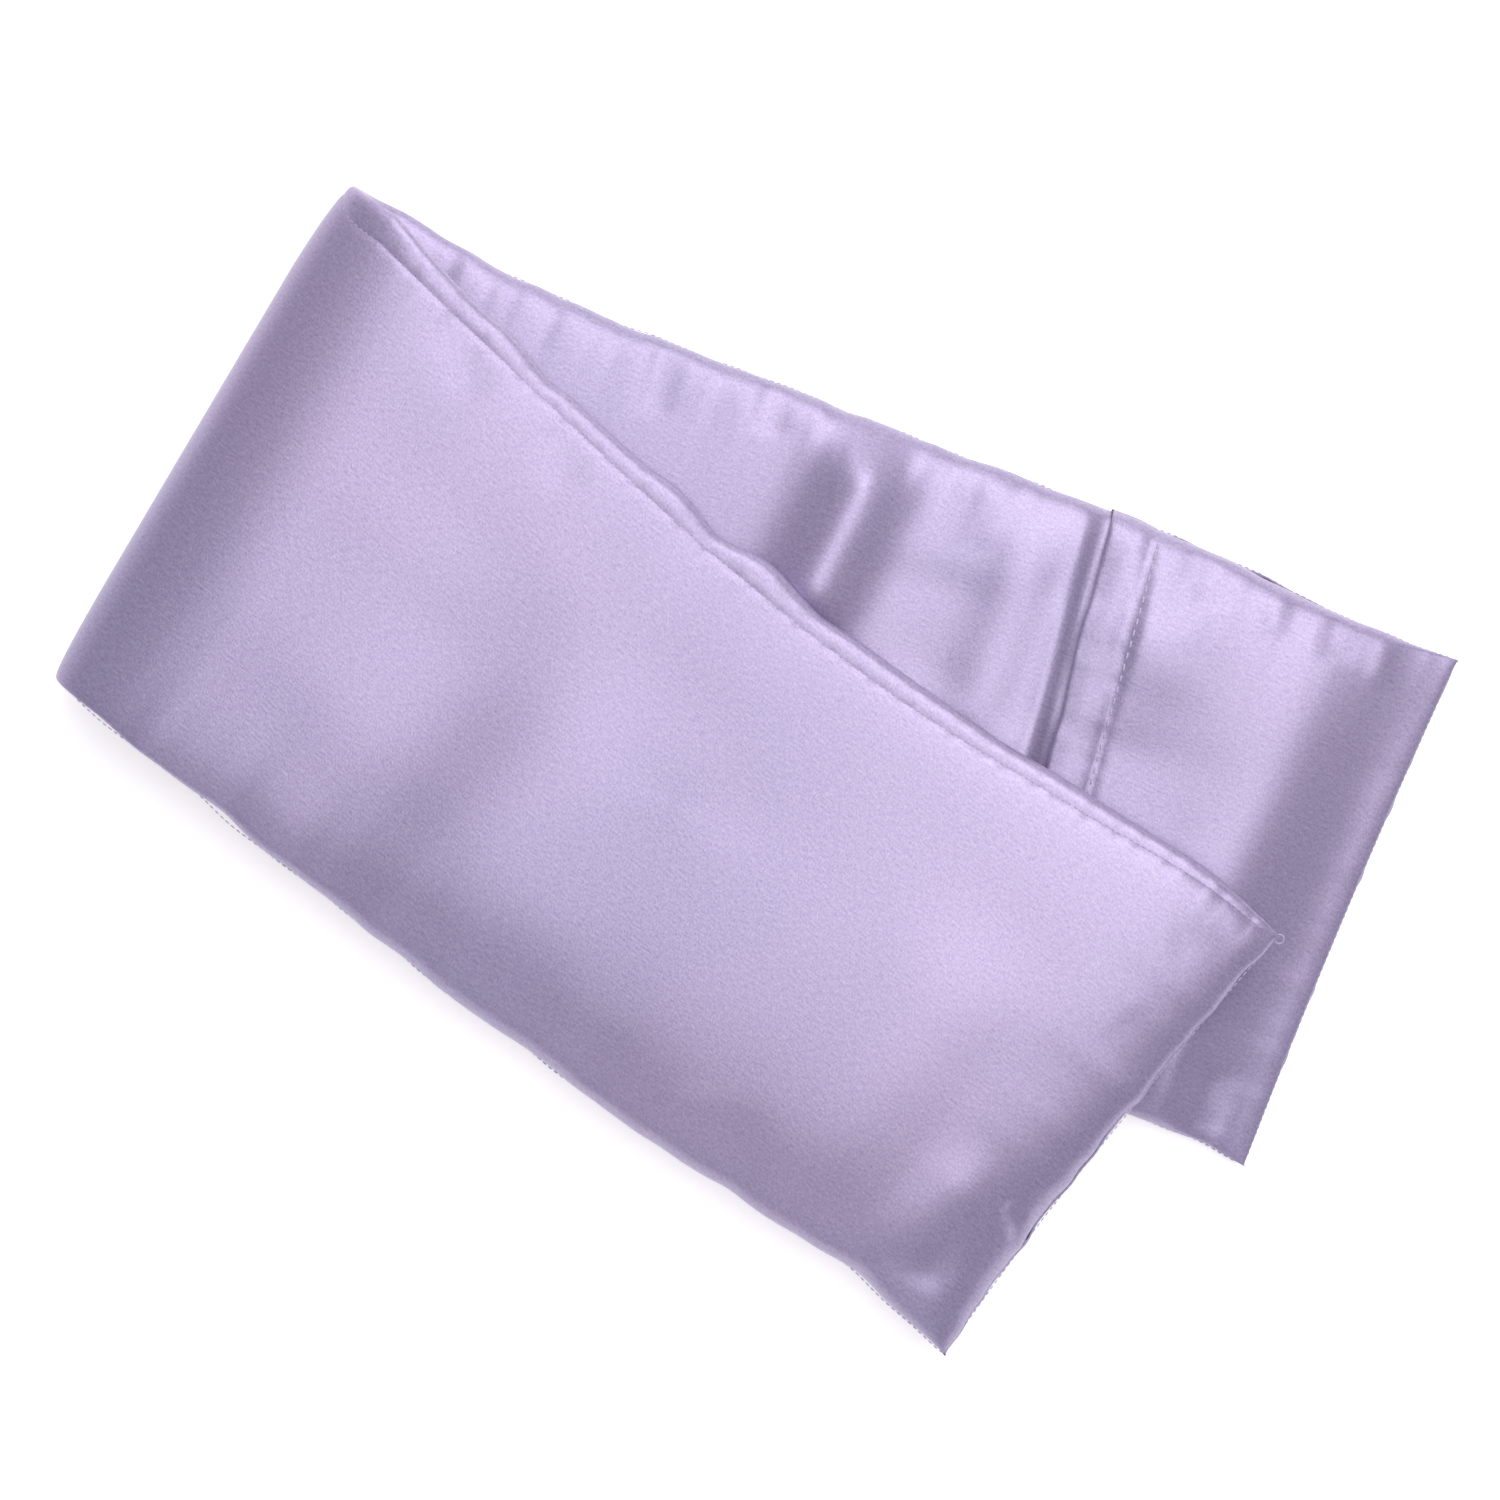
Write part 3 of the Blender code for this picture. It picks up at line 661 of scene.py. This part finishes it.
def flap_grid():
    """Rows run from the turned-under edge, round the folded edge, to the end seam. Columns run across."""
    p = np.linspace(0.5, 1, FLAP_COLUMNS)
    across, depth = section(p)
    turn_rows = np.linspace(1, 0.12, TURN_ROWS)
    curl = np.linspace(-math.pi / 2, math.pi / 2, CURL_ROWS + 2)[1:-1]
    end_rows = (LENGTH[1] - END_ROUNDING - slit(0)) / (LENGTH[1] - slit(0))
    plain = np.linspace(0.014, end_rows, PLAIN_ROWS)
    rounded = end_rows + (1 - end_rows) * np.sin(np.linspace(0, math.pi / 2, FLAP_ROUND_ROWS)[1:])
    flat = np.zeros(len(plain) + len(rounded))
    line = np.concatenate([turn_rows * HEM, LIP * (1 - np.cos(curl)), flat])
    share = np.concatenate([np.zeros(len(turn_rows) + len(curl)), plain, rounded])
    level = np.concatenate([np.full(len(turn_rows), -2.0), -1 + np.sin(curl), flat])
    v_line = slit(0) + line + share * (LENGTH[1] - slit(0))
    near, far = edges(1, v_line[:, None])
    v = (near + far) / 2 + (far - near) / 2 * across
    first = slit(v)
    u = first + line[:, None] + share[:, None] * (end_of_half(v, 1) - first)
    x, y = place_in_half(u, v, 1)
    _, inner, seam = heights(1, x, y)
    closing = end_share(end_of_half(v, 1) - u, True)
    z = seam + (inner - seam) * np.abs(depth) * closing
    points = np.stack([x, y, z], -1)
    lift = 0.5 * MM + relief(1, u, v, depth) + LIP * level[:, None]
    # the stitches press the cloth in, the hem stands up before them, and small puckers lie between
    stitch_line = slit(v) + HEM
    lift = lift - 0.55 * MM * bell(u - stitch_line, 1.2) + 0.5 * MM * bell(u - (slit(v) + 0.42 * HEM), 3.4)
    lift = lift + 0.13 * MM * wobble(v, 5.5, 1) * bell(u - stitch_line, 2.2)
    # the fill swells past the hem, and the lip itself is uneven for a few millimetres
    past_swell = u - (slit(v) + 1.4 * HEM)
    lift = lift + 2.9 * MM * bell(v - 36 * MM, 13) * bell(past_swell, np.where(past_swell < 0, 6.5, 20))
    pucker = 0.6 * MM * wobble(v, 38, 2) + 0.14 * MM * wobble(v, 9, 1)
    lift = lift + (pucker + 0.7 * MM * bell(v - 24 * MM, 15)) * np.exp(-np.maximum(u - first, 0) / (4 * MM))
    points[..., 2] += lift * np.minimum(2.2 * np.abs(depth), 1) * np.minimum(3 * closing, 1)
    wave = 0.75 * MM * wobble(v, 62, 2.4) + 0.12 * MM * wobble(v, 13, 1)
    points[..., 0] += wave * np.exp(-np.maximum(u - first, 0) / (5 * MM)) * np.abs(depth)
    row_steps = np.linalg.norm(np.diff(points[:, FLAP_MIDDLE], axis=0), axis=-1)
    walked_line = np.concatenate([[0], np.cumsum(row_steps)])
    cloth = np.stack([0 * v + walked_line[:, None] + GRAIN_SHIFT, v], -1)
    return points, cloth, grid_normals(points)


flap_points, flap_cloth, flap_normal = flap_grid()
if flap_normal[FLAP_TOP_ROW, FLAP_MIDDLE, 2] < 0:
    flap_normal = -flap_normal
flap = cloth_sheet("opening_flap_sheet", flap_points, flap_cloth, flap_normal, THIN_CLOTH)
print(f"flap: {len(flap.data.polygons)} faces, lip {LIP / MM:.2f} mm")

# %% [markdown]
# The stitches are short lengths of thread, one shape repeated: an arc with thin ends that dip into the
# cloth. Each row of them follows a line on the cloth it sews: a row or a column of the grid itself, or an
# edge found with the same functions.

# %% Rows of stitches
SIDES, RINGS = 5, 5
HEM_STITCH = {"pitch": 2.5 * MM, "share": 0.74, "radius": 0.24 * MM, "dip": 0.3 * MM}
ROLLED_STITCH = {"pitch": 1.5 * MM, "share": 0.62, "radius": 0.13 * MM, "dip": 0.1 * MM}
EDGE_STITCH = {"pitch": 1.5 * MM, "share": 0.7, "radius": 0.15 * MM, "dip": 0.0}
HEM_LIFT = 0.12 * MM
EDGE_GAP = 0.02 * MM
CORNER_ROWS = 12  # the rolled seam's last rows, round the end seam, carry no stitches


def stitches(name, line, pitch, share, radius, dip):
    """Stitches along a line of points: each is a tube of a few rings over `share` of its pitch."""
    steps = np.linalg.norm(np.diff(line, axis=0), axis=-1)
    far_along = np.concatenate([[0], np.cumsum(steps)])
    count = int(far_along[-1] / pitch)
    rings = np.linspace(-0.5, 0.5, RINGS)
    at = (np.arange(count)[:, None] + 0.5 + rings * share) * pitch
    centre = np.stack([np.interp(at, far_along, line[:, k]) for k in range(3)], -1)
    ahead = np.stack([np.interp(at + 0.2 * MM, far_along, line[:, k]) for k in range(3)], -1) - centre
    ahead /= np.maximum(np.linalg.norm(ahead, axis=-1, keepdims=True), 1e-9)
    centre[..., 2] -= dip * (2 * np.abs(rings)) ** 3
    side_way = np.cross(ahead, [0, 0, 1.0])
    side_way /= np.maximum(np.linalg.norm(side_way, axis=-1, keepdims=True), 1e-9)
    up = np.cross(side_way, ahead)
    round_angle = np.arange(SIDES) * 2 * math.pi / SIDES
    thick = radius * np.array([0.35, 0.9, 1, 0.9, 0.35])[None, :, None, None]
    cosine, sine = np.cos(round_angle)[:, None], np.sin(round_angle)[:, None]
    circle = cosine * side_way[:, :, None] + sine * up[:, :, None]
    points = centre[:, :, None] + thick * circle
    k, j = np.meshgrid(np.arange(RINGS - 1), np.arange(SIDES), indexing="ij")
    following = (j + 1) % SIDES
    corners = [k * SIDES + j, k * SIDES + following, (k + 1) * SIDES + following, (k + 1) * SIDES + j]
    one = np.stack(corners, -1).reshape(-1, 4)
    caps = np.array([[0, 4, 3, 2], [20, 21, 22, 23]])
    one = np.concatenate([one[:, ::-1], caps[:, ::-1]])
    faces = (one[None] + RINGS * SIDES * np.arange(count)[:, None, None]).reshape(-1, 4)
    twist = np.stack(np.meshgrid(np.arange(RINGS) / RINGS, np.arange(SIDES) / SIDES, indexing="ij"), -1)
    twist = np.tile(twist.reshape(-1, 2), (count, 1))
    piece = new_mesh(name, points.reshape(-1, 3), faces, twist * [2 * MM, 1 * MM])
    print(f"{name}: {count} stitches")
    return piece


v_line = np.linspace(56.5 * MM, -56 * MM, 400)
folded_edge = TURN_ROWS + CURL_ROWS // 2
from_edge = flap_cloth[folded_edge:, FLAP_MIDDLE, 0] - flap_cloth[folded_edge, FLAP_MIDDLE, 0]
at_stitches = folded_edge + np.argmin(np.abs(from_edge - HEM))
row_v = flap_cloth[at_stitches, ::-1, 1]
hem_line = np.stack([np.interp(v_line, row_v, flap_points[at_stitches, ::-1, k]) for k in range(3)], -1)
hem_line[:, 2] += HEM_LIFT
hem_thread = stitches("flap_hem_stitches", hem_line, **HEM_STITCH)

bend_middle, last_cut = (len(lower_shares) - 1 + BEND_STEPS * k for k in (2, 3))
rolled_thread = stitches("rolled_seam_stitches", rolled_line[last_cut:-CORNER_ROWS], **ROLLED_STITCH)
bend_thread = stitches("fold_seam_stitches", rolled_line[bend_middle : last_cut + 1], **ROLLED_STITCH)


def edge_line(side, u, far):
    """The line of a seam at a half's own edge, at its seam's height and just outside the cloth."""
    near_edge, far_edge = edges(side, u)
    v = (far_edge + EDGE_GAP) if far else (near_edge - EDGE_GAP)
    x, y = place_in_half(u, v, side)
    return np.stack([x, y, heights(side, x, y)[2]], -1)


def end_line(side, v):
    """The line of the end seam."""
    u = end_of_half(v, side)
    x, y = place_in_half(u, v, side)
    return np.stack([x, y, heights(side, x, y)[2]], -1)


across_line = np.linspace(-56 * MM, 55 * MM, 500)
lower_u = np.linspace(16 * MM, 262 * MM, 1600)
upper_u = lower_u[lower_u < 243 * MM]
lower_sides = edge_line(1, lower_u, False), edge_line(1, lower_u[::-1], True)
lower_seams = np.concatenate([lower_sides[0], end_line(1, across_line), lower_sides[1]])
upper_seams = np.concatenate([edge_line(-1, upper_u, False), end_line(-1, across_line)])
lower_thread = stitches("lower_seam_stitches", lower_seams, **EDGE_STITCH)
upper_thread = stitches("upper_seam_stitches", upper_seams, **EDGE_STITCH)

# %% [markdown]
# A loop of thread is left where the seams of the upper half meet. It is most of a circle, leans a little,
# and starts at the far corner.

# %% The loose loop at the corner
LOOP_RADIUS, LOOP_OPENS, LOOP_OUT = 0.95 * MM, 2.5, 0.8
LOOP_POINTS = 40
LOOP_THREAD = 0.16 * MM
loop_turn = -SKEW + 0.5
corner = end_line(-1, np.array([55.5 * MM]))[0]
loop_angle = np.linspace(-LOOP_OPENS, LOOP_OPENS, LOOP_POINTS)
loop_way = np.array([math.cos(loop_turn), math.sin(loop_turn), 0])
loop_side = np.array([-loop_way[1], loop_way[0], 0.25])
outward = (np.cos(loop_angle) + LOOP_OUT)[:, None] * loop_way
loop = corner + LOOP_RADIUS * (outward + np.sin(loop_angle)[:, None] * loop_side)


def tube(name, line, radius, sides=8):
    """A tube along a line, whose first and last rings are smaller and closed."""
    ahead = np.gradient(line, axis=0)
    ahead /= np.linalg.norm(ahead, axis=-1, keepdims=True)
    side_way = np.cross(ahead, [0.1, 0.2, 1.0])
    side_way /= np.linalg.norm(side_way, axis=-1, keepdims=True)
    up = np.cross(side_way, ahead)
    a = np.arange(sides) * 2 * math.pi / sides
    thick = np.ones(len(line))
    thick[[0, -1]] = 0.4
    ring = np.cos(a)[:, None] * side_way[:, None] + np.sin(a)[:, None] * up[:, None]
    points = line[:, None] + radius * thick[:, None, None] * ring
    n = len(line)
    k, j = np.meshgrid(np.arange(n - 1), np.arange(sides), indexing="ij")
    following = (j + 1) % sides
    corners = [k * sides + j, (k + 1) * sides + j, (k + 1) * sides + following, k * sides + following]
    faces = np.stack(corners, -1).reshape(-1, 4)
    last = (n - 1) * sides
    caps = np.array([[0, 1, 2, 3], [0, 3, 4, 7], [4, 5, 6, 7]])
    faces = np.concatenate([faces, caps, (caps + last)[:, ::-1]])
    uv = np.stack(np.meshgrid(np.linspace(0, 5 * MM, n), a * MM, indexing="ij"), -1).reshape(-1, 2)
    return new_mesh(name, points.reshape(-1, 3), faces[:, ::-1], uv)


corner_tail = tube("corner_thread_loop", loop, LOOP_THREAD)

# %% [markdown]
# The slip-off cover hides a sewn cotton pouch of seeds. The pouch is made from the same grids as the cover,
# drawn in all round, and the surface of the seed fill is drawn in a little more.

# %% The pouch and its fill
POUCH_INSET, FILL_INSET = 1.7 * MM, 2.9 * MM
POUCH_COLUMNS, FILL_COLUMNS = 150, 130
POUCH_SHORT = 12 * MM
UNEVENNESS = 0.25 * MM


def short_end(v, side):
    """The u at which the pouch ends, short of the cover's end seam."""
    return end_of_half(v, side) - POUCH_SHORT


def inner_tube(p, inset, unevenness):
    """A closed tube inside the cover, drawn in all round, whose two ends stop short of the cover's."""
    parts = [
        half_rows(1, lower_shares[::-1], p, short_end, inset),
        bend_rows(bend_angles, p, inset),
        half_rows(-1, upper_shares, p, short_end, inset),
    ]
    points = np.concatenate([part[0] for part in parts])
    cloth = np.concatenate([part[1] for part in parts])
    normal = grid_normals(points)
    raised = np.concatenate([relief_of(*part[2]) for part in parts])
    _, u, v, depth = parts[0][2]
    raised[: len(lower_shares)] -= tuck_depth(u, v) * np.clip(-depth, 0, 1)
    raised = raised - unevenness * (1 + wobble(cloth[..., 0], 17) * wobble(cloth[..., 1], 13))
    points = points + normal * raised[..., None]
    return points, cloth, grid_normals(points)


for inside, inset, columns in (
    ("pouch_cloth", POUCH_INSET, POUCH_COLUMNS),
    ("seed_mass", FILL_INSET, FILL_COLUMNS),
):
    points, cloth, normal = inner_tube(np.linspace(0, 1, columns)[None], inset, UNEVENNESS)
    for number, rows in enumerate(cut_strip(points, len(lower_shares))):
        name = f"{PIECE_NAMES[number]}_{inside}"
        panels[inside, number] = cloth_sheet(name, points[rows], cloth[rows], normal[rows], THIN_CLOTH)
    print(f"{inside}: {len(points)} rows, drawn in by {inset / MM:.1f} mm")

# %% [markdown]
# A finish is a tree of shader nodes. Sums on sockets read best as sums, so a small class wraps a socket and
# turns each operator into the Math node for it.

# %% Shader maths


class Wire:
    """A shader socket that can be added to, taken from a number or multiplied; each makes one Math node."""

    def __init__(self, finish, socket):
        self.finish, self.socket = finish, socket

    def maths(self, operation, *values):
        """The Math node of an operation."""
        return self.finish.node("ShaderNodeMath", {"operation": operation}, *values)

    def __add__(self, other):
        return self.maths("ADD", self, other)

    def __rsub__(self, other):
        return self.maths("SUBTRACT", other, self)

    def __mul__(self, other):
        return self.maths("MULTIPLY", self, other)

    __radd__, __rmul__ = __add__, __mul__


class Finish:
    """A material being made: node() adds a node and returns its first output as a Wire."""

    def __init__(self, name):
        self.material = bpy.data.materials.new(name)
        self.material.use_nodes = True
        self.tree = self.material.node_tree
        self.shader = self.tree.nodes["Principled BSDF"]

    def node(self, kind, settings=None, *values, output=0, **named):
        """A node of a type: its settings first, then values or links for its sockets, by order or by name."""
        node = self.tree.nodes.new(kind)
        for key, value in (settings or {}).items():
            setattr(node, key, value)
        for key, value in [*enumerate(values), *named.items()]:
            self.put(node.inputs[key.replace("_", " ") if isinstance(key, str) else key], value)
        return Wire(self, node.outputs[output])

    def put(self, socket, value):
        """Links a Wire to a socket, or sets a plain value on it."""
        if isinstance(value, Wire):
            self.tree.links.new(value.socket, socket)
        elif hasattr(socket.default_value, "__len__") and len(socket.default_value) == 4 and len(value) == 3:
            socket.default_value = (*value, 1)
        else:
            socket.default_value = value

    def blend(self, share, first, second):
        """A colour between two: a Mix node on colours."""
        node = self.tree.nodes.new("ShaderNodeMix")
        node.data_type = "RGBA"
        for index, value in ((0, share), (6, first), (7, second)):
            self.put(node.inputs[index], value)
        return Wire(self, node.outputs[2])

    def cloth(self, stretch=(1, 1, 1), turn=0.0):
        """The piece's own cloth coordinates in metres, stretched and turned by a Mapping node."""
        uv = self.node("ShaderNodeUVMap", {"uv_map": "cloth"})
        return self.node("ShaderNodeMapping", None, uv, Scale=stretch, Rotation=(0, 0, turn))

    def noise(self, where, scale, detail=2.0, roughness=0.5):
        """Soft noise, from 0 to 1, at a number of features to the metre."""
        settings = {"Scale": scale, "Detail": detail, "Roughness": roughness}
        return self.node("ShaderNodeTexNoise", None, Vector=where, **settings)

    def wave(self, direction, scale, distortion):
        """Even bands of thread, from 0 to 1, in one direction of the cloth."""
        settings = {"Scale": scale, "Distortion": distortion}
        return self.node("ShaderNodeTexWave", {"bands_direction": direction}, Vector=self.cloth(), **settings)

    def finish(self, **sockets):
        """Sets or links the shader's own sockets."""
        for key, value in sockets.items():
            self.put(self.shader.inputs[key.replace("_", " ")], value)
        return self.material

    def bump(self, height, strength, distance):
        """A Bump node's normal from a height."""
        return self.node("ShaderNodeBump", None, Height=height, Strength=strength, Distance=distance)


# %% [markdown]
# Satin floats its long warp threads over the face of the cloth. That gives it a broad soft gloss and a deep
# shade where it turns from the light, and a fine grain of single threads across the strip.

# %% The lilac satin
satin = Finish("lilac_satin")
threads = satin.noise(satin.cloth((1, 0.6, 1)), 2500, 2.0, 0.6)
floats = satin.noise(satin.cloth((0.4, 1.4, 1), 0.12), 1500, 1.0)
grain = threads * 0.65 + floats * 0.35
patches = satin.noise(satin.cloth(), 11, 2.0)
hue = satin.node("ShaderNodeMapRange", None, patches, 0.35, 0.65)
face = satin.blend(hue, (0.300, 0.236, 0.405), (0.282, 0.233, 0.405))
grain_share = satin.node("ShaderNodeMapRange", None, grain, 0.3, 0.7)
deep = satin.blend(0.32, face, (0.14, 0.09, 0.24))
bright = satin.blend(0.15, face, (1.0, 0.97, 1.0))
satin_material = satin.finish(
    Base_Color=satin.blend(grain_share, deep, bright),
    Roughness=0.35 + patches * 0.08 + grain * 0.06,
    Normal=satin.bump(grain, 0.32, 0.00014),
    IOR=1.85,
    Metallic=0.42,
    Anisotropic=0.35,
    Sheen_Weight=0.12,
    Sheen_Roughness=0.45,
    Sheen_Tint=(0.85, 0.80, 1.0),
)

# %% [markdown]
# The thread is twisted, so its bands run slantwise. The cotton is a plain weave, bands of warp times bands
# of weft. The seeds are the cells of a Voronoi pattern, with painted shade in the gaps between them.

# %% The thread, the cotton and the seeds
thread = Finish("lilac_thread")
twist = thread.wave("DIAGONAL", 700.0, 1.5)
fuzz = thread.noise(thread.cloth(), 5000)
thread_material = thread.finish(
    Base_Color=thread.blend(twist * 0.6 + fuzz * 0.4, (0.34, 0.27, 0.45), (0.58, 0.52, 0.68)),
    Roughness=0.42 + fuzz * 0.12,
    Normal=thread.bump(twist, 0.5, 0.0001),
    Sheen_Weight=0.2,
)

cotton = Finish("pouch_cotton")
warp = cotton.wave("X", 420.0, 0.6)
weft = cotton.wave("Y", 420.0, 0.6)
slub = cotton.noise(cotton.cloth((1, 0.1, 1)), 900, 3.0)
weave = warp * weft
cotton_material = cotton.finish(
    Base_Color=cotton.blend(weave * 0.6 + slub * 0.4, (0.60, 0.56, 0.48), (0.80, 0.77, 0.70)),
    Roughness=0.82 + slub * 0.1,
    Normal=cotton.bump(weave, 0.5, 0.0002),
    Sheen_Weight=0.15,
)

seeds = Finish("flax_seed")
place = seeds.node("ShaderNodeTexCoord", output=3)
# distance from each seed's middle: it gives the bumps and the painted shade in the gaps between seeds
gap_shade_and_relief = seeds.node("ShaderNodeTexVoronoi", {"feature": "F1"}, Vector=place, Scale=480.0)
tone = seeds.node("ShaderNodeTexVoronoi", {"feature": "F1"}, Vector=place, Scale=480.0, output=1)
shade = seeds.node("ShaderNodeSeparateColor", None, tone)
husk = seeds.blend(shade, (0.14, 0.06, 0.025), (0.34, 0.19, 0.09))
# the colour darkens to near-black in the gaps between the seeds: painted shade
seeds_material = seeds.finish(
    Base_Color=seeds.blend(gap_shade_and_relief * 1.1, husk, (0.05, 0.025, 0.012)),
    Roughness=0.3 + shade * 0.15,
    Normal=seeds.bump(1 - gap_shade_and_relief, 0.8, 0.0012),
)
print("finishes:", [material.name for material in bpy.data.materials])


def dress(piece, material, slot):
    """Gives a piece its finish. The slot is not used."""
    piece.data.materials.clear()
    piece.data.materials.append(material)


# %% [markdown]
# Every piece now gets its finish, and the nodes that it stands for are hidden. The flap and four of the
# threads join a body. The stitches on the fold have no solid of their own, so they stand for nothing. The fill
# is slack.

# %% Finishes, bodies and what each piece replaces
stands_for = {"front": "front_panel", "back": "back_panel", "pouch_cloth": "pouch", "seed_mass": "seed_fill"}
looks = {"pouch_cloth": (cotton_material, "pouch_cotton"), "seed_mass": (seeds_material, "flax_seed")}
node_groups = ["lower", "fold_segment_1", "fold_segment_2", "fold_segment_3", "upper"]
for (panel, number), piece in panels.items():
    blend_at(piece, number)
    dress(piece, *looks.get(panel, (satin_material, "lilac_satin")))
    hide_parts(*(f"{group}_{stands_for[panel]}" for group in node_groups[number : number + 2]))

dress(flap, satin_material, "lilac_satin")
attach(flap, "lower_half")
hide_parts("opening_flap", "flap_hem_turn")
for piece, node, body in (
    (hem_thread, "flap_hem_thread", "lower_half"),
    (lower_thread, "lower_seam_thread", "lower_half"),
    (upper_thread, "upper_seam_thread", "upper_half"),
    (corner_tail, "corner_thread_tail", "upper_half"),
):
    dress(piece, thread_material, "lilac_thread")
    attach(piece, body)
    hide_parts(node)
for piece, number in ((rolled_thread, 3), (bend_thread, 2)):
    dress(piece, thread_material, "lilac_thread")
    blend_at(piece, number)
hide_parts("rolled_seam_thread")
print(f"{len(panels) + 7} pieces placed")

# %% [markdown]
# The pillow lies on a white table, which glows a little so that its shadow stays pale. Four soft lights
# shine on it: a wide one overhead, two from beyond its far side, one of them low, and a weak one on the near
# side. A faint violet world fills the shadows.

# %% Floor, light and camera
FLOOR, FLOOR_GAP = 3.0, 0.2 * MM
floor_corners = [(x * FLOOR, y * FLOOR, -FLOOR_GAP) for x, y in ((-1, -1), (1, -1), (1, 1), (-1, 1))]
floor_mesh = bpy.data.meshes.new("floor")
floor_mesh.from_pydata(floor_corners, [], [(0, 1, 2, 3)])
floor = bpy.data.objects.new("floor", floor_mesh)
bpy.context.scene.collection.objects.link(floor)
table = Finish("white_table")
table_tone = table.noise(table.node("ShaderNodeTexCoord", output=3), 3.0)
table_material = table.finish(
    Base_Color=table.blend(table_tone, (0.93, 0.925, 0.915), (0.95, 0.945, 0.935)),
    Roughness=0.9,
    Emission_Color=(1.0, 0.985, 0.955),
    Emission_Strength=0.40,
)
floor_mesh.materials.append(table_material)

VIEW_TURN = math.radians(30.6)
VIEW_X, VIEW_Y = 0.0, -2.2 * MM
view_right = np.array([math.cos(VIEW_TURN), math.sin(VIEW_TURN), 0])
view_up = np.array([-math.sin(VIEW_TURN), math.cos(VIEW_TURN), 0])


def soft_light(name, right, up, height, size, power, colour):
    """A square area light, placed by the view's own directions and aimed at the pillow."""
    light = bpy.data.lights.new(name, "AREA")
    light.shape, light.size, light.energy, light.color = "SQUARE", size, power, colour
    lamp = bpy.data.objects.new(name, light)
    bpy.context.scene.collection.objects.link(lamp)
    place = right * view_right + up * view_up + np.array([0, 0, height])
    lamp.location = place
    toward = -place / np.linalg.norm(place)
    lamp.rotation_euler = (math.acos(-toward[2]), 0, math.atan2(toward[0], -toward[1]) + math.pi)
    return lamp


soft_light("overhead_light", 0.33, 0.12, 1.7, 1.35, 17.5, (1.0, 0.995, 0.975))
soft_light("far_light", 0.45, 0.95, 1.1, 0.9, 10.0, (1.0, 0.985, 0.97))
soft_light("low_far_light", 0.25, 1.5, 0.7, 1.1, 7.0, (1.0, 1.0, 1.0))
soft_light("near_card", -0.5, -1.2, 0.9, 1.4, 4.0, (1.0, 0.99, 1.0))
world = bpy.data.worlds.new("studio")
bpy.context.scene.world = world
world.use_nodes = True
world.node_tree.nodes["Background"].inputs[0].default_value = (0.88, 0.85, 1.0, 1)
world.node_tree.nodes["Background"].inputs[1].default_value = 0.33

CAMERA_HEIGHT = 1.6
FRAME_WIDTH, FRAME_LEVEL = 315 * MM, 15 * MM  # the width in view, at this height above the table
SENSOR = 36
lens = bpy.data.cameras.new("camera")
lens.sensor_width = SENSOR
lens.lens = SENSOR * (CAMERA_HEIGHT - FRAME_LEVEL) / FRAME_WIDTH
camera = bpy.data.objects.new("camera", lens)
camera.location = (VIEW_X, VIEW_Y, CAMERA_HEIGHT)
camera.rotation_euler = (0, 0, VIEW_TURN)
bpy.context.scene.collection.objects.link(camera)
bpy.context.scene.camera = camera
bpy.context.scene.view_settings.view_transform = "Standard"
print(f"lens {lens.lens:.0f} mm at {CAMERA_HEIGHT} m")

# %% [markdown]
# Last, the view layer is brought up to date.

# %% Bring the view layer up to date
bpy.context.view_layer.update()
